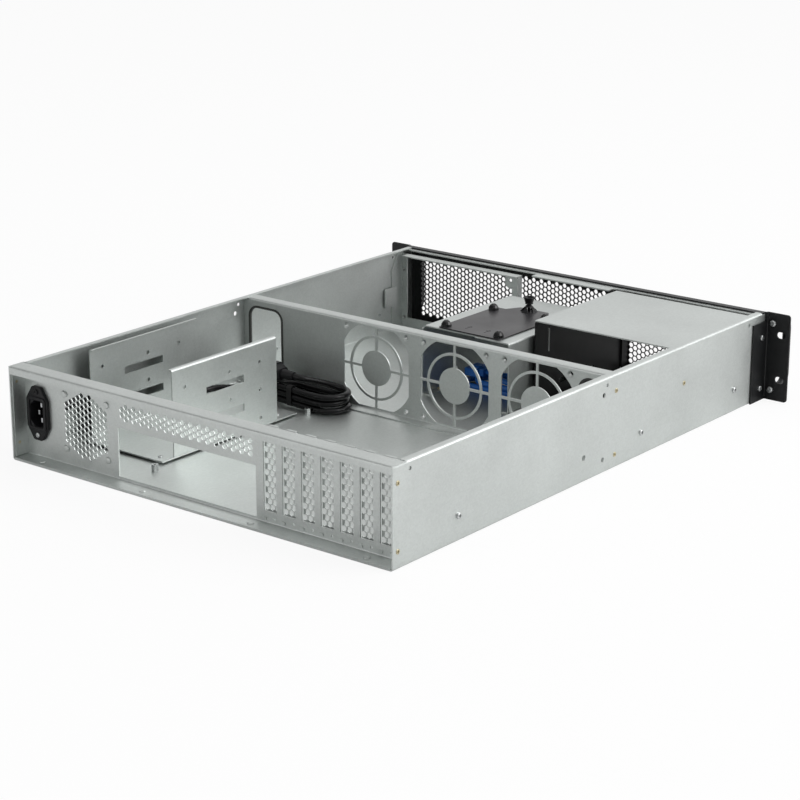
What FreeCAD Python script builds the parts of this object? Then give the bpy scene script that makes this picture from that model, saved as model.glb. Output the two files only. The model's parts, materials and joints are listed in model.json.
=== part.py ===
import FreeCAD, Part
import math
import os

# Empty 2U rackmount server case without its lid, lengths in millimetres.
# X runs across the case, +Y to the rear, +Z up. The sheet parts are drawn with y = 0 on the
# front face and moved at export, so that the origin is the middle of the whole footprint.

Vector = FreeCAD.Vector

# Case envelope, between the ears of a 19 inch rack
rack_width = 482.6
ear_reach = 25.8
case_width = rack_width - 2 * ear_reach
case_height = 86.5
case_depth = 573.4
sheet = 1.2
bend = 1.0
wall_flange = 7.0
seat_gap = 0.1

# Rack fixing
ear_slot_inset = 8.75
rack_hole_pitch_x = rack_width - 2 * ear_slot_inset
rack_hole_pitch_z = 44.45
ear_sheet = 1.5
ear_corner = 3.0
ear_wing = 27.0
ear_wing_height = 78.0
ear_slot_width = 6.5
ear_slot_length = 9.5
ear_screw_pitch = 50.4
ear_screw_setback = 10.6
handle_pitch = 65.8
handle_reach = 30.0
handle_bar = 8.0
handle_inset = 18.0
handle_screw_head = 6.4
handle_screw_bite = 5.5

# Rear panel
panel_recess = 16.4
panel_lip = 7.2
panel_side_screw_height = 28.2
rear_screw_setback = 6.4
window_width = 158.75
window_height = 44.45
window_sill = 5.1
vent_pitch = 8.4
vent_hole = 6.9
strip_height = 17.5
strip_sill = 55.2
fan_vent_share = 0.6297
fan_vent_offset = 0.4598
fan_vent_height = 60.0
fan_vent_hole_pitch = 50.0
fan_vent_boss_inset = 1.52
slot_count = 7
slot_pitch = 20.32
slot_width = 13.8
slot_height = 59.4
slot_sill = 12.6
slot_inset = 10.7
slot_to_window = 8.2
slot_cover_width = 14.6
slot_cover_sheet = 0.8
slot_cover_gap = 1.8
slot_cover_tab = 4.0

# Mains inlet
inlet_inset = 18.0
inlet_height = 43.2
inlet_flange_width = 26.0
inlet_flange_height = 49.6
inlet_flange_thickness = 3.2
inlet_body_width = 19.6
inlet_body_height = 27.2
inlet_body_depth = 21.0
inlet_screw_pitch = 40.0

# Power supply cradle
cradle_inset = 12.8
cradle_width = 103.5
cradle_rear_gap = 50.8
cradle_length = 180.0
cradle_front_step = 27.5
cradle_rear_step = 15.0
cradle_lift = 1.9
cradle_lip = 4.0
cradle_slot_length = 49.5
cradle_slot_width = 7.0

# Fan wall
board_room_depth = 287.8
fan_wall_top_flange = 12.0
fan_wall_foot = 11.5
fan_count = 3
fan_pitch = 92.0
fan_size = 78.0
fan_corner_circle = 88.4
fan_hole_pitch = 71.5
fan_hole = 4.3
fan_height = 43.6
fan_inset = 78.3
guard_disc = 34.4
guard_ring = 62.8
guard_bar = 2.4
cable_gate_width = 43.0
cable_gate_height = 68.4
cable_gate_sill = 10.6
cable_gate_radius = 11.0
cable_gate_inset = 28.4
side_gate_width = 26.0
side_gate_inset = 20.5
trim_lip = 2.4
trim_thickness = 3.2

# Front panel and the 5.25 inch bay cage behind it
front_sheet = 1.5
front_flange = 9.0
front_vent_pitch = 13.4
front_vent_hole = 11.4
front_vent_sill = 10.0
front_vent_height = 62.0
front_vent_inset = 17.0
bay_count = 2
bay_mouth_width = 149.0
bay_mouth_sill = 1.3
bay_mouth_head = 1.1
bay_pitch = (case_height - front_sheet - bay_mouth_sill - bay_mouth_head) / bay_count
bay_cage_flange = 12.0
bay_cage_width = 156.5
bay_cage_front = 12.0
bay_cage_rear = 160.5
cage_slit_inset = 23.1
cage_slit_width = 1.8
bay_cover_sheet = 1.0
bay_cover_gap = 0.4
top_strip_depth = 5.0
top_strip_tab_width = 93.0
top_strip_tab_depth = 15.0

# Drive cage and its 2.5 inch tray
drive_cage_width = 103.0
drive_cage_height = 70.0
drive_cage_front = 54.0
drive_cage_rear = 198.0
drive_cage_gap = 2.7
drive_cage_foot = 10.0
tray_width = 72.0
tray_front = 89.0
tray_rear = 195.0
tray_sheet = 1.0
tray_lance_inset = 17.4
tray_hole_pitch_x = 61.72
tray_hole_pitch_y = 76.6
tray_standoff = 0.4
tray_offset = -2.0
tray_corner = 2.0
dome_diameter = 10.4
dome_top_diameter = 7.0
dome_height = 6.2
dome_rim = 1.2
knob_height = 14.5
knob_setback = 7.0
knob_diameter = 11.6
knob_base = 19.0

# Front fan frame
frame_width = 156.5
frame_depth = 10.0
frame_side_depth = 18.0
frame_front = 19.0
frame_height = 82.0
frame_border = 7.0
frame_low_border = 10.5
frame_low_depth = 8.2

# Front controls
controls_width = 52.0
controls_height = 30.0
controls_sill = 9.0
controls_left = 22.0
controls_depth = 6.0
power_button_diameter = 11.0
power_travel_room = 3.0
reset_button_diameter = 4.0
button_clearance = 0.3
button_proud = 0.8

# Standoffs and screws
standoff_height = 6.5
standoff_across_flats = 5.5
standoff_bore = 2.6
board_rear_gap = 2.3
board_first_column = 7.0
board_middle_column = 157.48
board_far_column = 281.94
board_rear_row = 10.16
board_io_row = 33.02
board_middle_row = 165.1
board_front_row = 237.49
rail_screw_height = 22.2
screw_head = 5.6
screw_head_height = 1.9
screw_shank = 3.0
small_screw_head = 4.4

# Leads
mains_lead_diameter = 6.4
mains_coil_inset = 54.3
mains_coil_length = 95.0
mains_boot_length = 4.0
mains_coil_narrow = 43.0
mains_coil_wide = 61.0
mains_coil_height = 20.8
mains_coil_corner = 20.0
plug_width = 26.0
plug_height = 16.5
plug_length = 24.0
plug_grip = 10.0
plug_boot = 14.0
plug_overhang = 8.0
data_lead_diameter = 5.5
data_coil_start = -44.5
data_coil_end = 37.4
data_coil_front = 122.0
data_coil_width = 36.5
data_coil_height = 11.4
data_coil_corner = 5.0
header_width = 21.0
header_depth = 14.0
header_height = 7.5

# Places worked out from the sizes above
half_width = case_width / 2
wall_inner = half_width - sheet
front_y = -(case_depth - handle_reach) / 2
panel_outer = case_depth - panel_recess
panel_inner = panel_outer - sheet
floor_top = sheet
under_flange = case_height - sheet
slot_first_edge = -wall_inner + slot_inset + slot_width + (slot_count - 1) * slot_pitch
window_low_x = slot_first_edge + slot_to_window
window_high_x = window_low_x + window_width
inlet_x = wall_inner - inlet_inset
fan_vent_room = inlet_x - inlet_flange_width / 2 - window_high_x
fan_vent_width = fan_vent_room * fan_vent_share
fan_vent_x = window_high_x + fan_vent_room * fan_vent_offset
fan_vent_z = 41.8
fan_wall_y = panel_inner - board_room_depth
cradle_rear = panel_inner - cradle_rear_gap
cradle_front = cradle_rear - cradle_length
cradle_wall_front = cradle_front + cradle_front_step
cradle_wall_rear = cradle_rear - cradle_rear_step
cradle_outer_x = wall_inner - cradle_inset
cradle_inner_x = cradle_outer_x - cradle_width
cradle_base_top = floor_top + cradle_lift + sheet
bay_cage_x = -wall_inner + bay_cage_width
bay_cage_top = under_flange - seat_gap
bay_mouth_low_x = -wall_inner + (bay_cage_width - bay_mouth_width) / 2 + 2.0
drive_cage_low_x = bay_cage_x + drive_cage_gap
drive_cage_high_x = drive_cage_low_x + drive_cage_width
frame_high_x = wall_inner - seat_gap
frame_low_x = frame_high_x - frame_width
tray_x = drive_cage_low_x + drive_cage_width / 2 + tray_offset
tray_z = drive_cage_height + tray_standoff
tray_hole_front = 112.5
controls_low_x = bay_cage_x + controls_left
mains_coil_end = wall_inner - mains_coil_inset
mains_coil_start = mains_coil_end - mains_coil_length
ear_bend_x = half_width + ear_sheet


# ---------------------------------------------------------------- geometry helpers

def on_xz(y):
    return lambda u, v: Vector(u, y, v)


def on_yz(x):
    return lambda u, v: Vector(x, u, v)


def on_xy(z):
    return lambda u, v: Vector(u, v, z)


def block(x0, x1, y0, y1, z0, z1):
    corner = Vector(min(x0, x1), min(y0, y1), min(z0, z1))
    return Part.makeBox(abs(x1 - x0), abs(y1 - y0), abs(z1 - z0), corner)


def rod_x(diameter, x0, x1, y, z):
    return Part.makeCylinder(diameter / 2, x1 - x0, Vector(x0, y, z), Vector(1, 0, 0))


def rod_y(diameter, x, y0, y1, z):
    return Part.makeCylinder(diameter / 2, y1 - y0, Vector(x, y0, z), Vector(0, 1, 0))


def rod_z(diameter, x, y, z0, z1):
    return Part.makeCylinder(diameter / 2, z1 - z0, Vector(x, y, z0), Vector(0, 0, 1))


def ring_y(outer, inner, x, y0, y1, z):
    return rod_y(outer, x, y0, y1, z).cut(rod_y(inner, x, y0 - 1, y1 + 1, z))


# Closed wire through 2D points, each corner rounded by its own radius.
def rounded_wire(points, radii, plane):
    corners = []
    count = len(points)
    for i in range(count):
        px, py = points[i]
        ax, ay = points[i - 1]
        bx, by = points[(i + 1) % count]
        in_length = math.hypot(px - ax, py - ay)
        out_length = math.hypot(bx - px, by - py)
        in_dir = ((px - ax) / in_length, (py - ay) / in_length)
        out_dir = ((bx - px) / out_length, (by - py) / out_length)
        cosine = max(-1.0, min(1.0, in_dir[0] * out_dir[0] + in_dir[1] * out_dir[1]))
        turn = math.acos(cosine)
        if radii[i] <= 0 or turn < 1e-6:
            corners.append((points[i], None, points[i]))
            continue
        back = radii[i] * math.tan(turn / 2)
        start = (px - in_dir[0] * back, py - in_dir[1] * back)
        end = (px + out_dir[0] * back, py + out_dir[1] * back)
        bisector = (out_dir[0] - in_dir[0], out_dir[1] - in_dir[1])
        size = math.hypot(bisector[0], bisector[1])
        sag = radii[i] / math.cos(turn / 2) - radii[i]
        middle = (px + bisector[0] / size * sag, py + bisector[1] / size * sag)
        corners.append((start, middle, end))
    edges = []
    for i in range(count):
        start, middle, end = corners[i]
        if middle is not None:
            edges.append(Part.Arc(plane(*start), plane(*middle), plane(*end)).toShape())
        following = corners[(i + 1) % count][0]
        if math.hypot(following[0] - end[0], following[1] - end[1]) > 1e-6:
            edges.append(Part.LineSegment(plane(*end), plane(*following)).toShape())
    return Part.Wire(edges)


def plate(points, plane, extrusion, radius=0.0):
    wire = rounded_wire(points, [radius] * len(points), plane)
    return Part.Face(wire).extrude(extrusion)


# Folded sheet: the skin is the outer face of the section, and the metal lies on its left.
def folded(skin, thickness, plane, extrusion, inner_radius=bend):
    lines = []
    for i in range(len(skin) - 1):
        (ax, ay), (bx, by) = skin[i], skin[i + 1]
        length = math.hypot(bx - ax, by - ay)
        direction = ((bx - ax) / length, (by - ay) / length)
        normal = (-direction[1], direction[0])
        lines.append((skin[i], skin[i + 1], direction, normal))
    inside = [(lines[0][0][0] + lines[0][3][0] * thickness, lines[0][0][1] + lines[0][3][1] * thickness)]
    skin_radii = [0.0]
    inside_radii = [0.0]
    for i in range(1, len(lines)):
        before = lines[i - 1]
        after = lines[i]
        cross = before[2][0] * after[2][1] - before[2][1] * after[2][0]
        dot = before[2][0] * after[2][0] + before[2][1] * after[2][1]
        push = math.tan(math.atan2(cross, dot) / 2) * thickness
        corner = after[0]
        inside.append((corner[0] + after[3][0] * thickness + after[2][0] * push,
                       corner[1] + after[3][1] * thickness + after[2][1] * push))
        turns_left = cross > 0
        skin_radii.append(inner_radius + thickness if turns_left else inner_radius)
        inside_radii.append(inner_radius if turns_left else inner_radius + thickness)
    last = lines[-1]
    inside.append((last[1][0] + last[3][0] * thickness, last[1][1] + last[3][1] * thickness))
    skin_radii.append(0.0)
    inside_radii.append(0.0)
    points = list(skin) + inside[::-1]
    radii = skin_radii + inside_radii[::-1]
    return Part.Face(rounded_wire(points, radii, plane)).extrude(extrusion)


def hexagon(x, z, across_flats, turned=0.0):
    reach = across_flats / math.sqrt(3)
    points = []
    for i in range(6):
        angle = math.radians(60 * i + turned)
        points.append((x + reach * math.cos(angle), z + reach * math.sin(angle)))
    return points


# Staggered punching centred in a window; a hole is kept where its whole width fits.
def punching(x0, x1, z0, z1, pitch, hole, keep=None):
    column_pitch = pitch * math.sqrt(3) / 2
    columns = max(1, int((x1 - x0 - hole) / column_pitch) + 1)
    rows = max(1, int((z1 - z0 - hole) / pitch) + 1)
    first_x = (x0 + x1 - (columns - 1) * column_pitch) / 2
    first_z = (z0 + z1 - (rows - 1) * pitch) / 2
    centres = []
    for i in range(columns):
        odd = i % 2
        for j in range(rows - odd):
            x = first_x + i * column_pitch
            z = first_z + (j + 0.5 * odd) * pitch
            if keep is None or keep(x, z):
                centres.append((x, z))
    return centres


def hex_cutters(centres, hole, y0, y1):
    cutters = []
    for x, z in centres:
        cutters.append(plate(hexagon(x, z, hole), on_xz(y0), Vector(0, y1 - y0, 0)))
    return cutters


def cut_all(shape, cutters):
    return shape.cut(Part.makeCompound(cutters))


def slot_plate(x0, x1, y0, y1, z0, z1, radius):
    points = [(x0, z0), (x1, z0), (x1, z1), (x0, z1)]
    return plate(points, on_xz(y0), Vector(0, y1 - y0, 0), radius)


# Room for the rounded folds along the four inner corners of the case.
def corner_reliefs(y0, y1):
    reach = bend + seat_gap
    reliefs = []
    for side in (-1, 1):
        for z0, z1 in ((0, floor_top + reach), (under_flange - reach, case_height + 1)):
            reliefs.append(block(side * (wall_inner - reach), side * (half_width + 1), y0, y1, z0, z1))
    return reliefs


# Pan-head screw along an axis, head seated at the point and shank going in against the axis.
def screw(point, axis, head, head_height, shank, length):
    rim = head_height * 0.4
    base = Part.makeCylinder(head / 2, head_height - rim, point, axis)
    crown = Part.makeCone(head / 2, head / 2 - rim, rim, point + axis * (head_height - rim), axis)
    stem = Part.makeCylinder(shank / 2, length, point - axis * length, axis)
    return base.fuse(crown).fuse(stem).removeSplitter()


def save(name, shape):
    moved = shape.copy()
    moved.translate(Vector(0, front_y, 0))
    moved.exportStep("parts/" + name + ".step")


# ---------------------------------------------------------------- chassis base

rail_screw_places = [57.6, fan_wall_y - 48.4, fan_wall_y + 221.1]
rail_spare_place = fan_wall_y + 42.0
lid_screw_places = [33.3, fan_wall_y + 7.7, panel_inner - 4.1]
lid_screw_height = case_height - 7.0
fan_wall_screw_heights = [12.6, 71.3]
fan_wall_screw_y = fan_wall_y - 6.6
fan_wall_spare_y = fan_wall_y + 12.5
bay_screw_y = 148.2
bay_screw_z = 50.7
rear_screw_y = case_depth - rear_screw_setback
rear_screw_heights = [case_height / 2 - panel_side_screw_height, case_height / 2 + panel_side_screw_height]
ear_screw_heights = [12.4, 12.4 + ear_screw_pitch]


def chassis_base():
    skin = [(-half_width + wall_flange, case_height), (-half_width, case_height), (-half_width, 0),
            (half_width, 0), (half_width, case_height), (half_width - wall_flange, case_height)]
    depth = case_depth - front_sheet
    body = folded(skin, sheet, on_xz(front_sheet), Vector(0, depth, 0))
    cutters = []
    # The rear panel's top flange and lip close the two rear corners.
    cutters.append(block(-half_width - 1, half_width + 1, panel_inner - seat_gap, case_depth + 1,
                         under_flange - seat_gap, case_height + 1))
    cutters.append(block(-half_width - 1, half_width + 1, case_depth - sheet - seat_gap, case_depth + 1,
                         case_height - panel_lip - seat_gap, case_height + 1))
    cutters.append(block(-wall_inner, wall_inner, panel_inner - seat_gap, case_depth + 1,
                         under_flange - bend - seat_gap, case_height + 1))
    # The top flanges stop behind the front panel's own flange.
    under_front = case_height - front_sheet - seat_gap
    cutters.append(block(-half_width - 1, half_width + 1, 0, front_flange + seat_gap, under_front, case_height + 1))
    cutters.append(block(-half_width - 1, half_width + 1, 0, front_sheet + bend + seat_gap, under_front - bend,
                         case_height + 1))
    for side in (-1, 1):
        low = min(side * (wall_inner - 1), side * (half_width + 1))
        high = max(side * (wall_inner - 1), side * (half_width + 1))
        for y in lid_screw_places:
            cutters.append(rod_x(3.4, low, high, y, lid_screw_height))
        for y in rail_screw_places:
            cutters.append(rod_x(screw_shank, low, high, y, rail_screw_height))
        cutters.append(rod_x(5.2, low, high, rail_spare_place, rail_screw_height))
        for z in fan_wall_screw_heights:
            cutters.append(rod_x(screw_shank, low, high, fan_wall_screw_y, z))
            cutters.append(rod_x(4.6, low, high, fan_wall_spare_y, z))
        for z in rear_screw_heights:
            cutters.append(rod_x(screw_shank, low, high, rear_screw_y, z))
        for z in ear_screw_heights:
            cutters.append(rod_x(screw_shank, low, high, ear_screw_setback, z))
    cutters.append(rod_x(screw_shank, -half_width - 1, -wall_inner + 1, bay_screw_y, bay_screw_z))
    for x, y in cage_foot_places():
        cutters.append(rod_z(screw_shank, x, y, -1, floor_top + 1))
    return cut_all(body, cutters)


# ---------------------------------------------------------------- rear panel and slot covers

def slot_edge(index):
    return slot_first_edge - index * slot_pitch


def in_fan_vent(x, z):
    dx = abs(x - fan_vent_x)
    dz = abs(z - fan_vent_z)
    return dx + dz < (fan_vent_width + fan_vent_height) / 2 - 15.5


def fan_vent_bosses():
    places = []
    for sx in (-1, 1):
        for sz in (-1, 1):
            places.append((fan_vent_x + sx * (fan_vent_width / 2 - fan_vent_boss_inset),
                           fan_vent_z + sz * fan_vent_hole_pitch / 2))
    return places


def rear_panel():
    skin = [(case_depth, case_height - panel_lip), (case_depth, case_height), (panel_inner, case_height),
            (panel_inner, floor_top), (case_depth, floor_top)]
    inner_span = wall_inner - seat_gap
    body = folded(skin, sheet, on_yz(-inner_span), Vector(2 * inner_span, 0, 0))
    # The top flange and lip run on over the edges of the side walls.
    for side in (-1, 1):
        low = side * half_width
        cap = block(low, side * inner_span, panel_inner, case_depth, under_flange, case_height)
        lip = block(low, side * inner_span, case_depth - sheet, case_depth, case_height - panel_lip, case_height)
        body = body.fuse(cap).fuse(lip)
        # Side flange behind the panel, where the side wall is screwed on.
        cheek = block(side * inner_span, side * (inner_span - sheet), panel_inner, case_depth - sheet - 0.6,
                      floor_top + sheet + 0.5, case_height - panel_lip - 1.0)
        body = body.fuse(cheek)
    for x, z in fan_vent_bosses():
        body = body.fuse(rod_y(5.6, x, panel_outer - 0.1, panel_outer + 0.9, z))
    # Half-sheared bridges that take the feet of the slot covers.
    for i in range(slot_count):
        x = slot_edge(i) - 0.6
        body = body.fuse(slot_plate(x - 2.2, x + 2.2, panel_outer - 0.1, panel_outer + 0.8, 4.6, 7.4, 0.9))
    body = body.removeSplitter()
    y0 = panel_inner - 2
    y1 = panel_outer + 2
    cutters = corner_reliefs(panel_inner - 1, case_depth + 1)[0::2]
    cutters.append(slot_plate(window_low_x, window_high_x, y0, y1, window_sill, window_sill + window_height, 0.6))
    for i in range(slot_count):
        edge = slot_edge(i)
        cutters.append(block(edge - slot_width, edge, y0, y1, slot_sill, slot_sill + slot_height))
        cutters.append(rod_y(2.2, edge - slot_pitch / 2 - 1.4, y0, y1, 7.2))
    half_w = inlet_body_width / 2 + 0.2
    half_h = inlet_body_height / 2 + 0.2
    cutters.append(slot_plate(inlet_x - half_w, inlet_x + half_w, y0, y1,
                              inlet_height - half_h, inlet_height + half_h, 0.6))
    for side in (-1, 1):
        cutters.append(rod_y(screw_shank, inlet_x, y0, y1, inlet_height + side * inlet_screw_pitch / 2))
    vent = punching(fan_vent_x - fan_vent_width / 2, fan_vent_x + fan_vent_width / 2,
                    fan_vent_z - fan_vent_height / 2, fan_vent_z + fan_vent_height / 2,
                    vent_pitch, vent_hole, in_fan_vent)
    strip = punching(window_low_x + 2, window_high_x - 2, strip_sill, strip_sill + strip_height,
                     vent_pitch, vent_hole)
    cutters += hex_cutters(vent + strip, vent_hole, y0, y1)
    for x, z in fan_vent_bosses():
        cutters.append(rod_y(3.2, x, y0, y1, z))
    for side in (-1, 1):
        low = min(side * (wall_inner + 1), side * (wall_inner - 3))
        high = max(side * (wall_inner + 1), side * (wall_inner - 3))
        for z in rear_screw_heights:
            cutters.append(rod_x(screw_shank, low, high, rear_screw_y, z))
    return cut_all(body, cutters)


def slot_cover(index):
    centre = slot_edge(index) - slot_width / 2
    low = centre - slot_cover_width / 2
    face = panel_inner - slot_cover_gap
    foot = slot_sill - 4.0
    top = case_height - sheet - seat_gap
    skin = [(panel_inner - seat_gap, foot), (face, foot), (face, top), (face + slot_cover_gap - seat_gap, top)]
    # The strip stands off the panel; its foot and its head touch it.
    body = folded(skin, -slot_cover_sheet, on_yz(low), Vector(slot_cover_width, 0, 0), 0.0)
    margin = (slot_width - 2 * vent_hole * 0.62) / 3
    cutters = []
    pitch = vent_pitch
    rows = int((slot_height - 6) / pitch)
    first = slot_sill + (slot_height - (rows - 1) * pitch) / 2
    for j in range(rows):
        for k in (-1, 1):
            x = centre + k * (vent_hole * 0.31 + margin / 2)
            z = first + (j + (0.25 if k > 0 else -0.25)) * pitch
            cutters += hex_cutters([(x, z)], vent_hole * 0.62, face - 2, face + 2)
    return cut_all(body, cutters)


# ---------------------------------------------------------------- mains inlet

def inlet_outline():
    half_w = inlet_flange_width / 2
    half_h = inlet_flange_height / 2
    nose = 5.2
    shoulder = inlet_body_height / 2 - 1.0
    return [(inlet_x - half_w, inlet_height - shoulder), (inlet_x - nose, inlet_height - half_h),
            (inlet_x + nose, inlet_height - half_h), (inlet_x + half_w, inlet_height - shoulder),
            (inlet_x + half_w, inlet_height + shoulder), (inlet_x + nose, inlet_height + half_h),
            (inlet_x - nose, inlet_height + half_h), (inlet_x - half_w, inlet_height + shoulder)]


def power_inlet():
    outline = inlet_outline()
    front = panel_outer
    flange = plate(outline, on_xz(front), Vector(0, inlet_flange_thickness, 0), 3.0)
    half_w = inlet_body_width / 2
    half_h = inlet_body_height / 2
    chamfer = 5.0
    body_points = [(inlet_x - half_w, inlet_height - half_h), (inlet_x + half_w - chamfer, inlet_height - half_h),
                   (inlet_x + half_w, inlet_height - half_h + chamfer),
                   (inlet_x + half_w, inlet_height + half_h - chamfer),
                   (inlet_x + half_w - chamfer, inlet_height + half_h), (inlet_x - half_w, inlet_height + half_h)]
    body = plate(body_points, on_xz(front - inlet_body_depth), Vector(0, inlet_body_depth, 0), 0.8)
    solid = flange.fuse(body).removeSplitter()
    wall = 1.6
    half_w -= wall
    half_h -= wall
    cavity_points = [(inlet_x - half_w, inlet_height - half_h), (inlet_x + half_w - chamfer, inlet_height - half_h),
                     (inlet_x + half_w, inlet_height - half_h + chamfer),
                     (inlet_x + half_w, inlet_height + half_h - chamfer),
                     (inlet_x + half_w - chamfer, inlet_height + half_h), (inlet_x - half_w, inlet_height + half_h)]
    cavity = plate(cavity_points, on_xz(front - inlet_body_depth + 3.0),
                   Vector(0, inlet_body_depth + inlet_flange_thickness, 0), 0.6)
    solid = solid.cut(cavity)
    for side in (-1, 1):
        z = inlet_height + side * inlet_screw_pitch / 2
        solid = solid.cut(rod_y(screw_shank, inlet_x, front - 1, front + 5, z))
    return solid


pin_places = [(-1.6, -7.0), (-1.6, 7.0), (1.6, 0.0)]


def inlet_pins():
    pins = []
    rear = panel_outer - inlet_body_depth + 3.0
    for dx, dz in pin_places:
        x = inlet_x + dx
        z = inlet_height + dz
        pins.append(block(x - 1.0, x + 1.0, rear, panel_outer - 1.0, z - 2.0, z + 2.0))
    return Part.makeCompound(pins)


def inlet_screws():
    screws = []
    for side in (-1, 1):
        point = Vector(inlet_x, panel_outer + inlet_flange_thickness, inlet_height + side * inlet_screw_pitch / 2)
        screws.append(screw(point, Vector(0, 1, 0), small_screw_head, 1.0, screw_shank - 0.4,
                            inlet_flange_thickness + sheet + 1.5))
    return Part.makeCompound(screws)


# ---------------------------------------------------------------- power supply cradle

# Heights of the rows, and how far behind the front edge of the walls their holes lie.
cradle_hole_rows = [(12.1, [22.8]), (39.4, [22.8, 63.7]), (65.8, [22.8, 63.7, 122.0])]
cradle_slots = [(24.7, 44.7), (51.7, 44.7)]


def psu_cradle():
    wall_top = under_flange - 0.4
    under = floor_top + cradle_lift
    base = [(cradle_inner_x, cradle_front), (cradle_outer_x, cradle_front), (cradle_outer_x, cradle_rear),
            (cradle_inner_x, cradle_rear)]
    skin = [(cradle_inner_x + cradle_lip, wall_top), (cradle_inner_x, wall_top), (cradle_inner_x, under),
            (cradle_outer_x, under), (cradle_outer_x, wall_top), (cradle_outer_x - cradle_lip, wall_top)]
    walls = folded(skin, sheet, on_xz(cradle_wall_front), Vector(0, cradle_wall_rear - cradle_wall_front, 0))
    body = walls.fuse(plate(base, on_xy(under), Vector(0, 0, sheet)))
    # Pressed feet carry the base above the floor.
    for x in (cradle_inner_x + 10.5, cradle_outer_x - 10.5):
        for y in (cradle_front + 16.0, cradle_rear - 8.0):
            body = body.fuse(rod_z(9.0, x, y, floor_top, under + 0.1))
    body = body.removeSplitter()
    cutters = []
    for z, places in cradle_hole_rows:
        for back in places:
            cutters.append(rod_x(3.6, cradle_inner_x - 1, cradle_outer_x + 1, cradle_wall_front + back, z))
    for z, back in cradle_slots:
        y = cradle_wall_front + back
        cutters.append(block(cradle_inner_x - 1, cradle_outer_x + 1, y, y + cradle_slot_length,
                             z, z + cradle_slot_width))
    for x in (cradle_inner_x + 10.5, cradle_outer_x - 10.5):
        for y in (cradle_front + 16.0, cradle_rear - 8.0):
            cutters.append(rod_z(screw_shank, x, y, floor_top - 1, under + sheet + 1))
    return cut_all(body, cutters)


def cradle_screws():
    screws = []
    for x in (cradle_inner_x + 10.5, cradle_outer_x - 10.5):
        for y in (cradle_front + 16.0, cradle_rear - 8.0):
            screws.append(screw(Vector(x, y, cradle_base_top), Vector(0, 0, 1), small_screw_head, 1.2,
                                screw_shank, cradle_base_top - floor_top))
    return Part.makeCompound(screws)


# ---------------------------------------------------------------- fan wall

def fan_centre(index):
    return -wall_inner + fan_inset + index * fan_pitch


def fan_hole_places(index):
    places = []
    for sx in (-1, 1):
        for sz in (-1, 1):
            places.append((fan_centre(index) + sx * fan_hole_pitch / 2, fan_height + sz * fan_hole_pitch / 2))
    return places


# The sheet left standing in front of each fan: hub disc, one ring and four spokes.
def fan_guard(x, y0, y1):
    guard = rod_y(guard_disc, x, y0, y1, fan_height)
    guard = guard.fuse(ring_y(guard_ring, guard_ring - 2 * guard_bar, x, y0, y1, fan_height))
    reach = fan_size / 2 + 1
    half = guard_bar / 2
    guard = guard.fuse(block(x - half, x + half, y0, y1, fan_height - reach, fan_height + reach))
    guard = guard.fuse(block(x - reach, x + reach, y0, y1, fan_height - half, fan_height + half))
    return guard


def fan_opening(x, y0, y1):
    half = fan_size / 2
    square = block(x - half, x + half, y0, y1, fan_height - half, fan_height + half)
    return square.common(rod_y(fan_corner_circle, x, y0, y1, fan_height))


def gate_spans():
    wide = wall_inner - cable_gate_inset
    narrow = -wall_inner + side_gate_inset
    return [(wide - cable_gate_width / 2, wide + cable_gate_width / 2),
            (narrow - side_gate_width / 2, narrow + side_gate_width / 2)]


def fan_wall():
    rear = fan_wall_y
    top = case_height - 0.3
    skin = [(rear - fan_wall_top_flange, top - sheet), (rear - sheet, top - sheet), (rear - sheet, floor_top),
            (rear + fan_wall_foot, floor_top)]
    span = wall_inner - seat_gap
    body = folded(skin, sheet, on_yz(-span), Vector(2 * span, 0, 0))
    for side in (-1, 1):
        body = body.fuse(block(side * span, side * (span - sheet), rear - fan_wall_top_flange, rear - 0.4,
                               floor_top + 2.0, top - sheet - 1.5))
    body = body.removeSplitter()
    y0 = rear - sheet - 1
    y1 = rear + 1
    cutters = corner_reliefs(rear - fan_wall_top_flange - 1, rear + fan_wall_foot + 1)
    # Clearance under the top flanges of the side walls.
    for side in (-1, 1):
        cutters.append(block(side * (half_width - wall_flange - seat_gap), side * (half_width + 1),
                             rear - fan_wall_top_flange - 1, rear + 1, under_flange - seat_gap, case_height + 1))
    for i in range(fan_count):
        x = fan_centre(i)
        cutters.append(fan_opening(x, y0, y1).cut(fan_guard(x, y0 - 1, y1 + 1)))
        for hx, hz in fan_hole_places(i):
            cutters.append(rod_y(fan_hole, hx, y0, y1, hz))
    for low, high in gate_spans():
        cutters.append(slot_plate(low, high, y0, y1, cable_gate_sill, cable_gate_sill + cable_gate_height,
                                  cable_gate_radius))
    for side in (-1, 1):
        low = min(side * (wall_inner + 1), side * (wall_inner - 3))
        high = max(side * (wall_inner + 1), side * (wall_inner - 3))
        for z in fan_wall_screw_heights:
            cutters.append(rod_x(screw_shank, low, high, fan_wall_screw_y, z))
    return cut_all(body, cutters)


# Rubber edging pushed on round a cable opening: a ring with a groove for the sheet.
def gate_trim(low, high):
    middle = fan_wall_y - sheet / 2
    y0 = middle - trim_thickness / 2
    y1 = middle + trim_thickness / 2
    z0 = cable_gate_sill
    z1 = cable_gate_sill + cable_gate_height
    outer = slot_plate(low - trim_lip / 2, high + trim_lip / 2, y0, y1, z0 - trim_lip / 2, z1 + trim_lip / 2,
                       cable_gate_radius + trim_lip / 2)
    inset = trim_lip / 2
    inner = slot_plate(low + inset, high - inset, y0 - 1, y1 + 1, z0 + inset, z1 - inset,
                       cable_gate_radius - inset)
    hole = slot_plate(low, high, y0 - 1, y1 + 1, z0, z1, cable_gate_radius)
    groove = block(low - 9, high + 9, fan_wall_y - sheet, fan_wall_y, z0 - 9, z1 + 9).cut(hole)
    return outer.cut(inner).cut(groove)


# ---------------------------------------------------------------- front panel and ears

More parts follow.
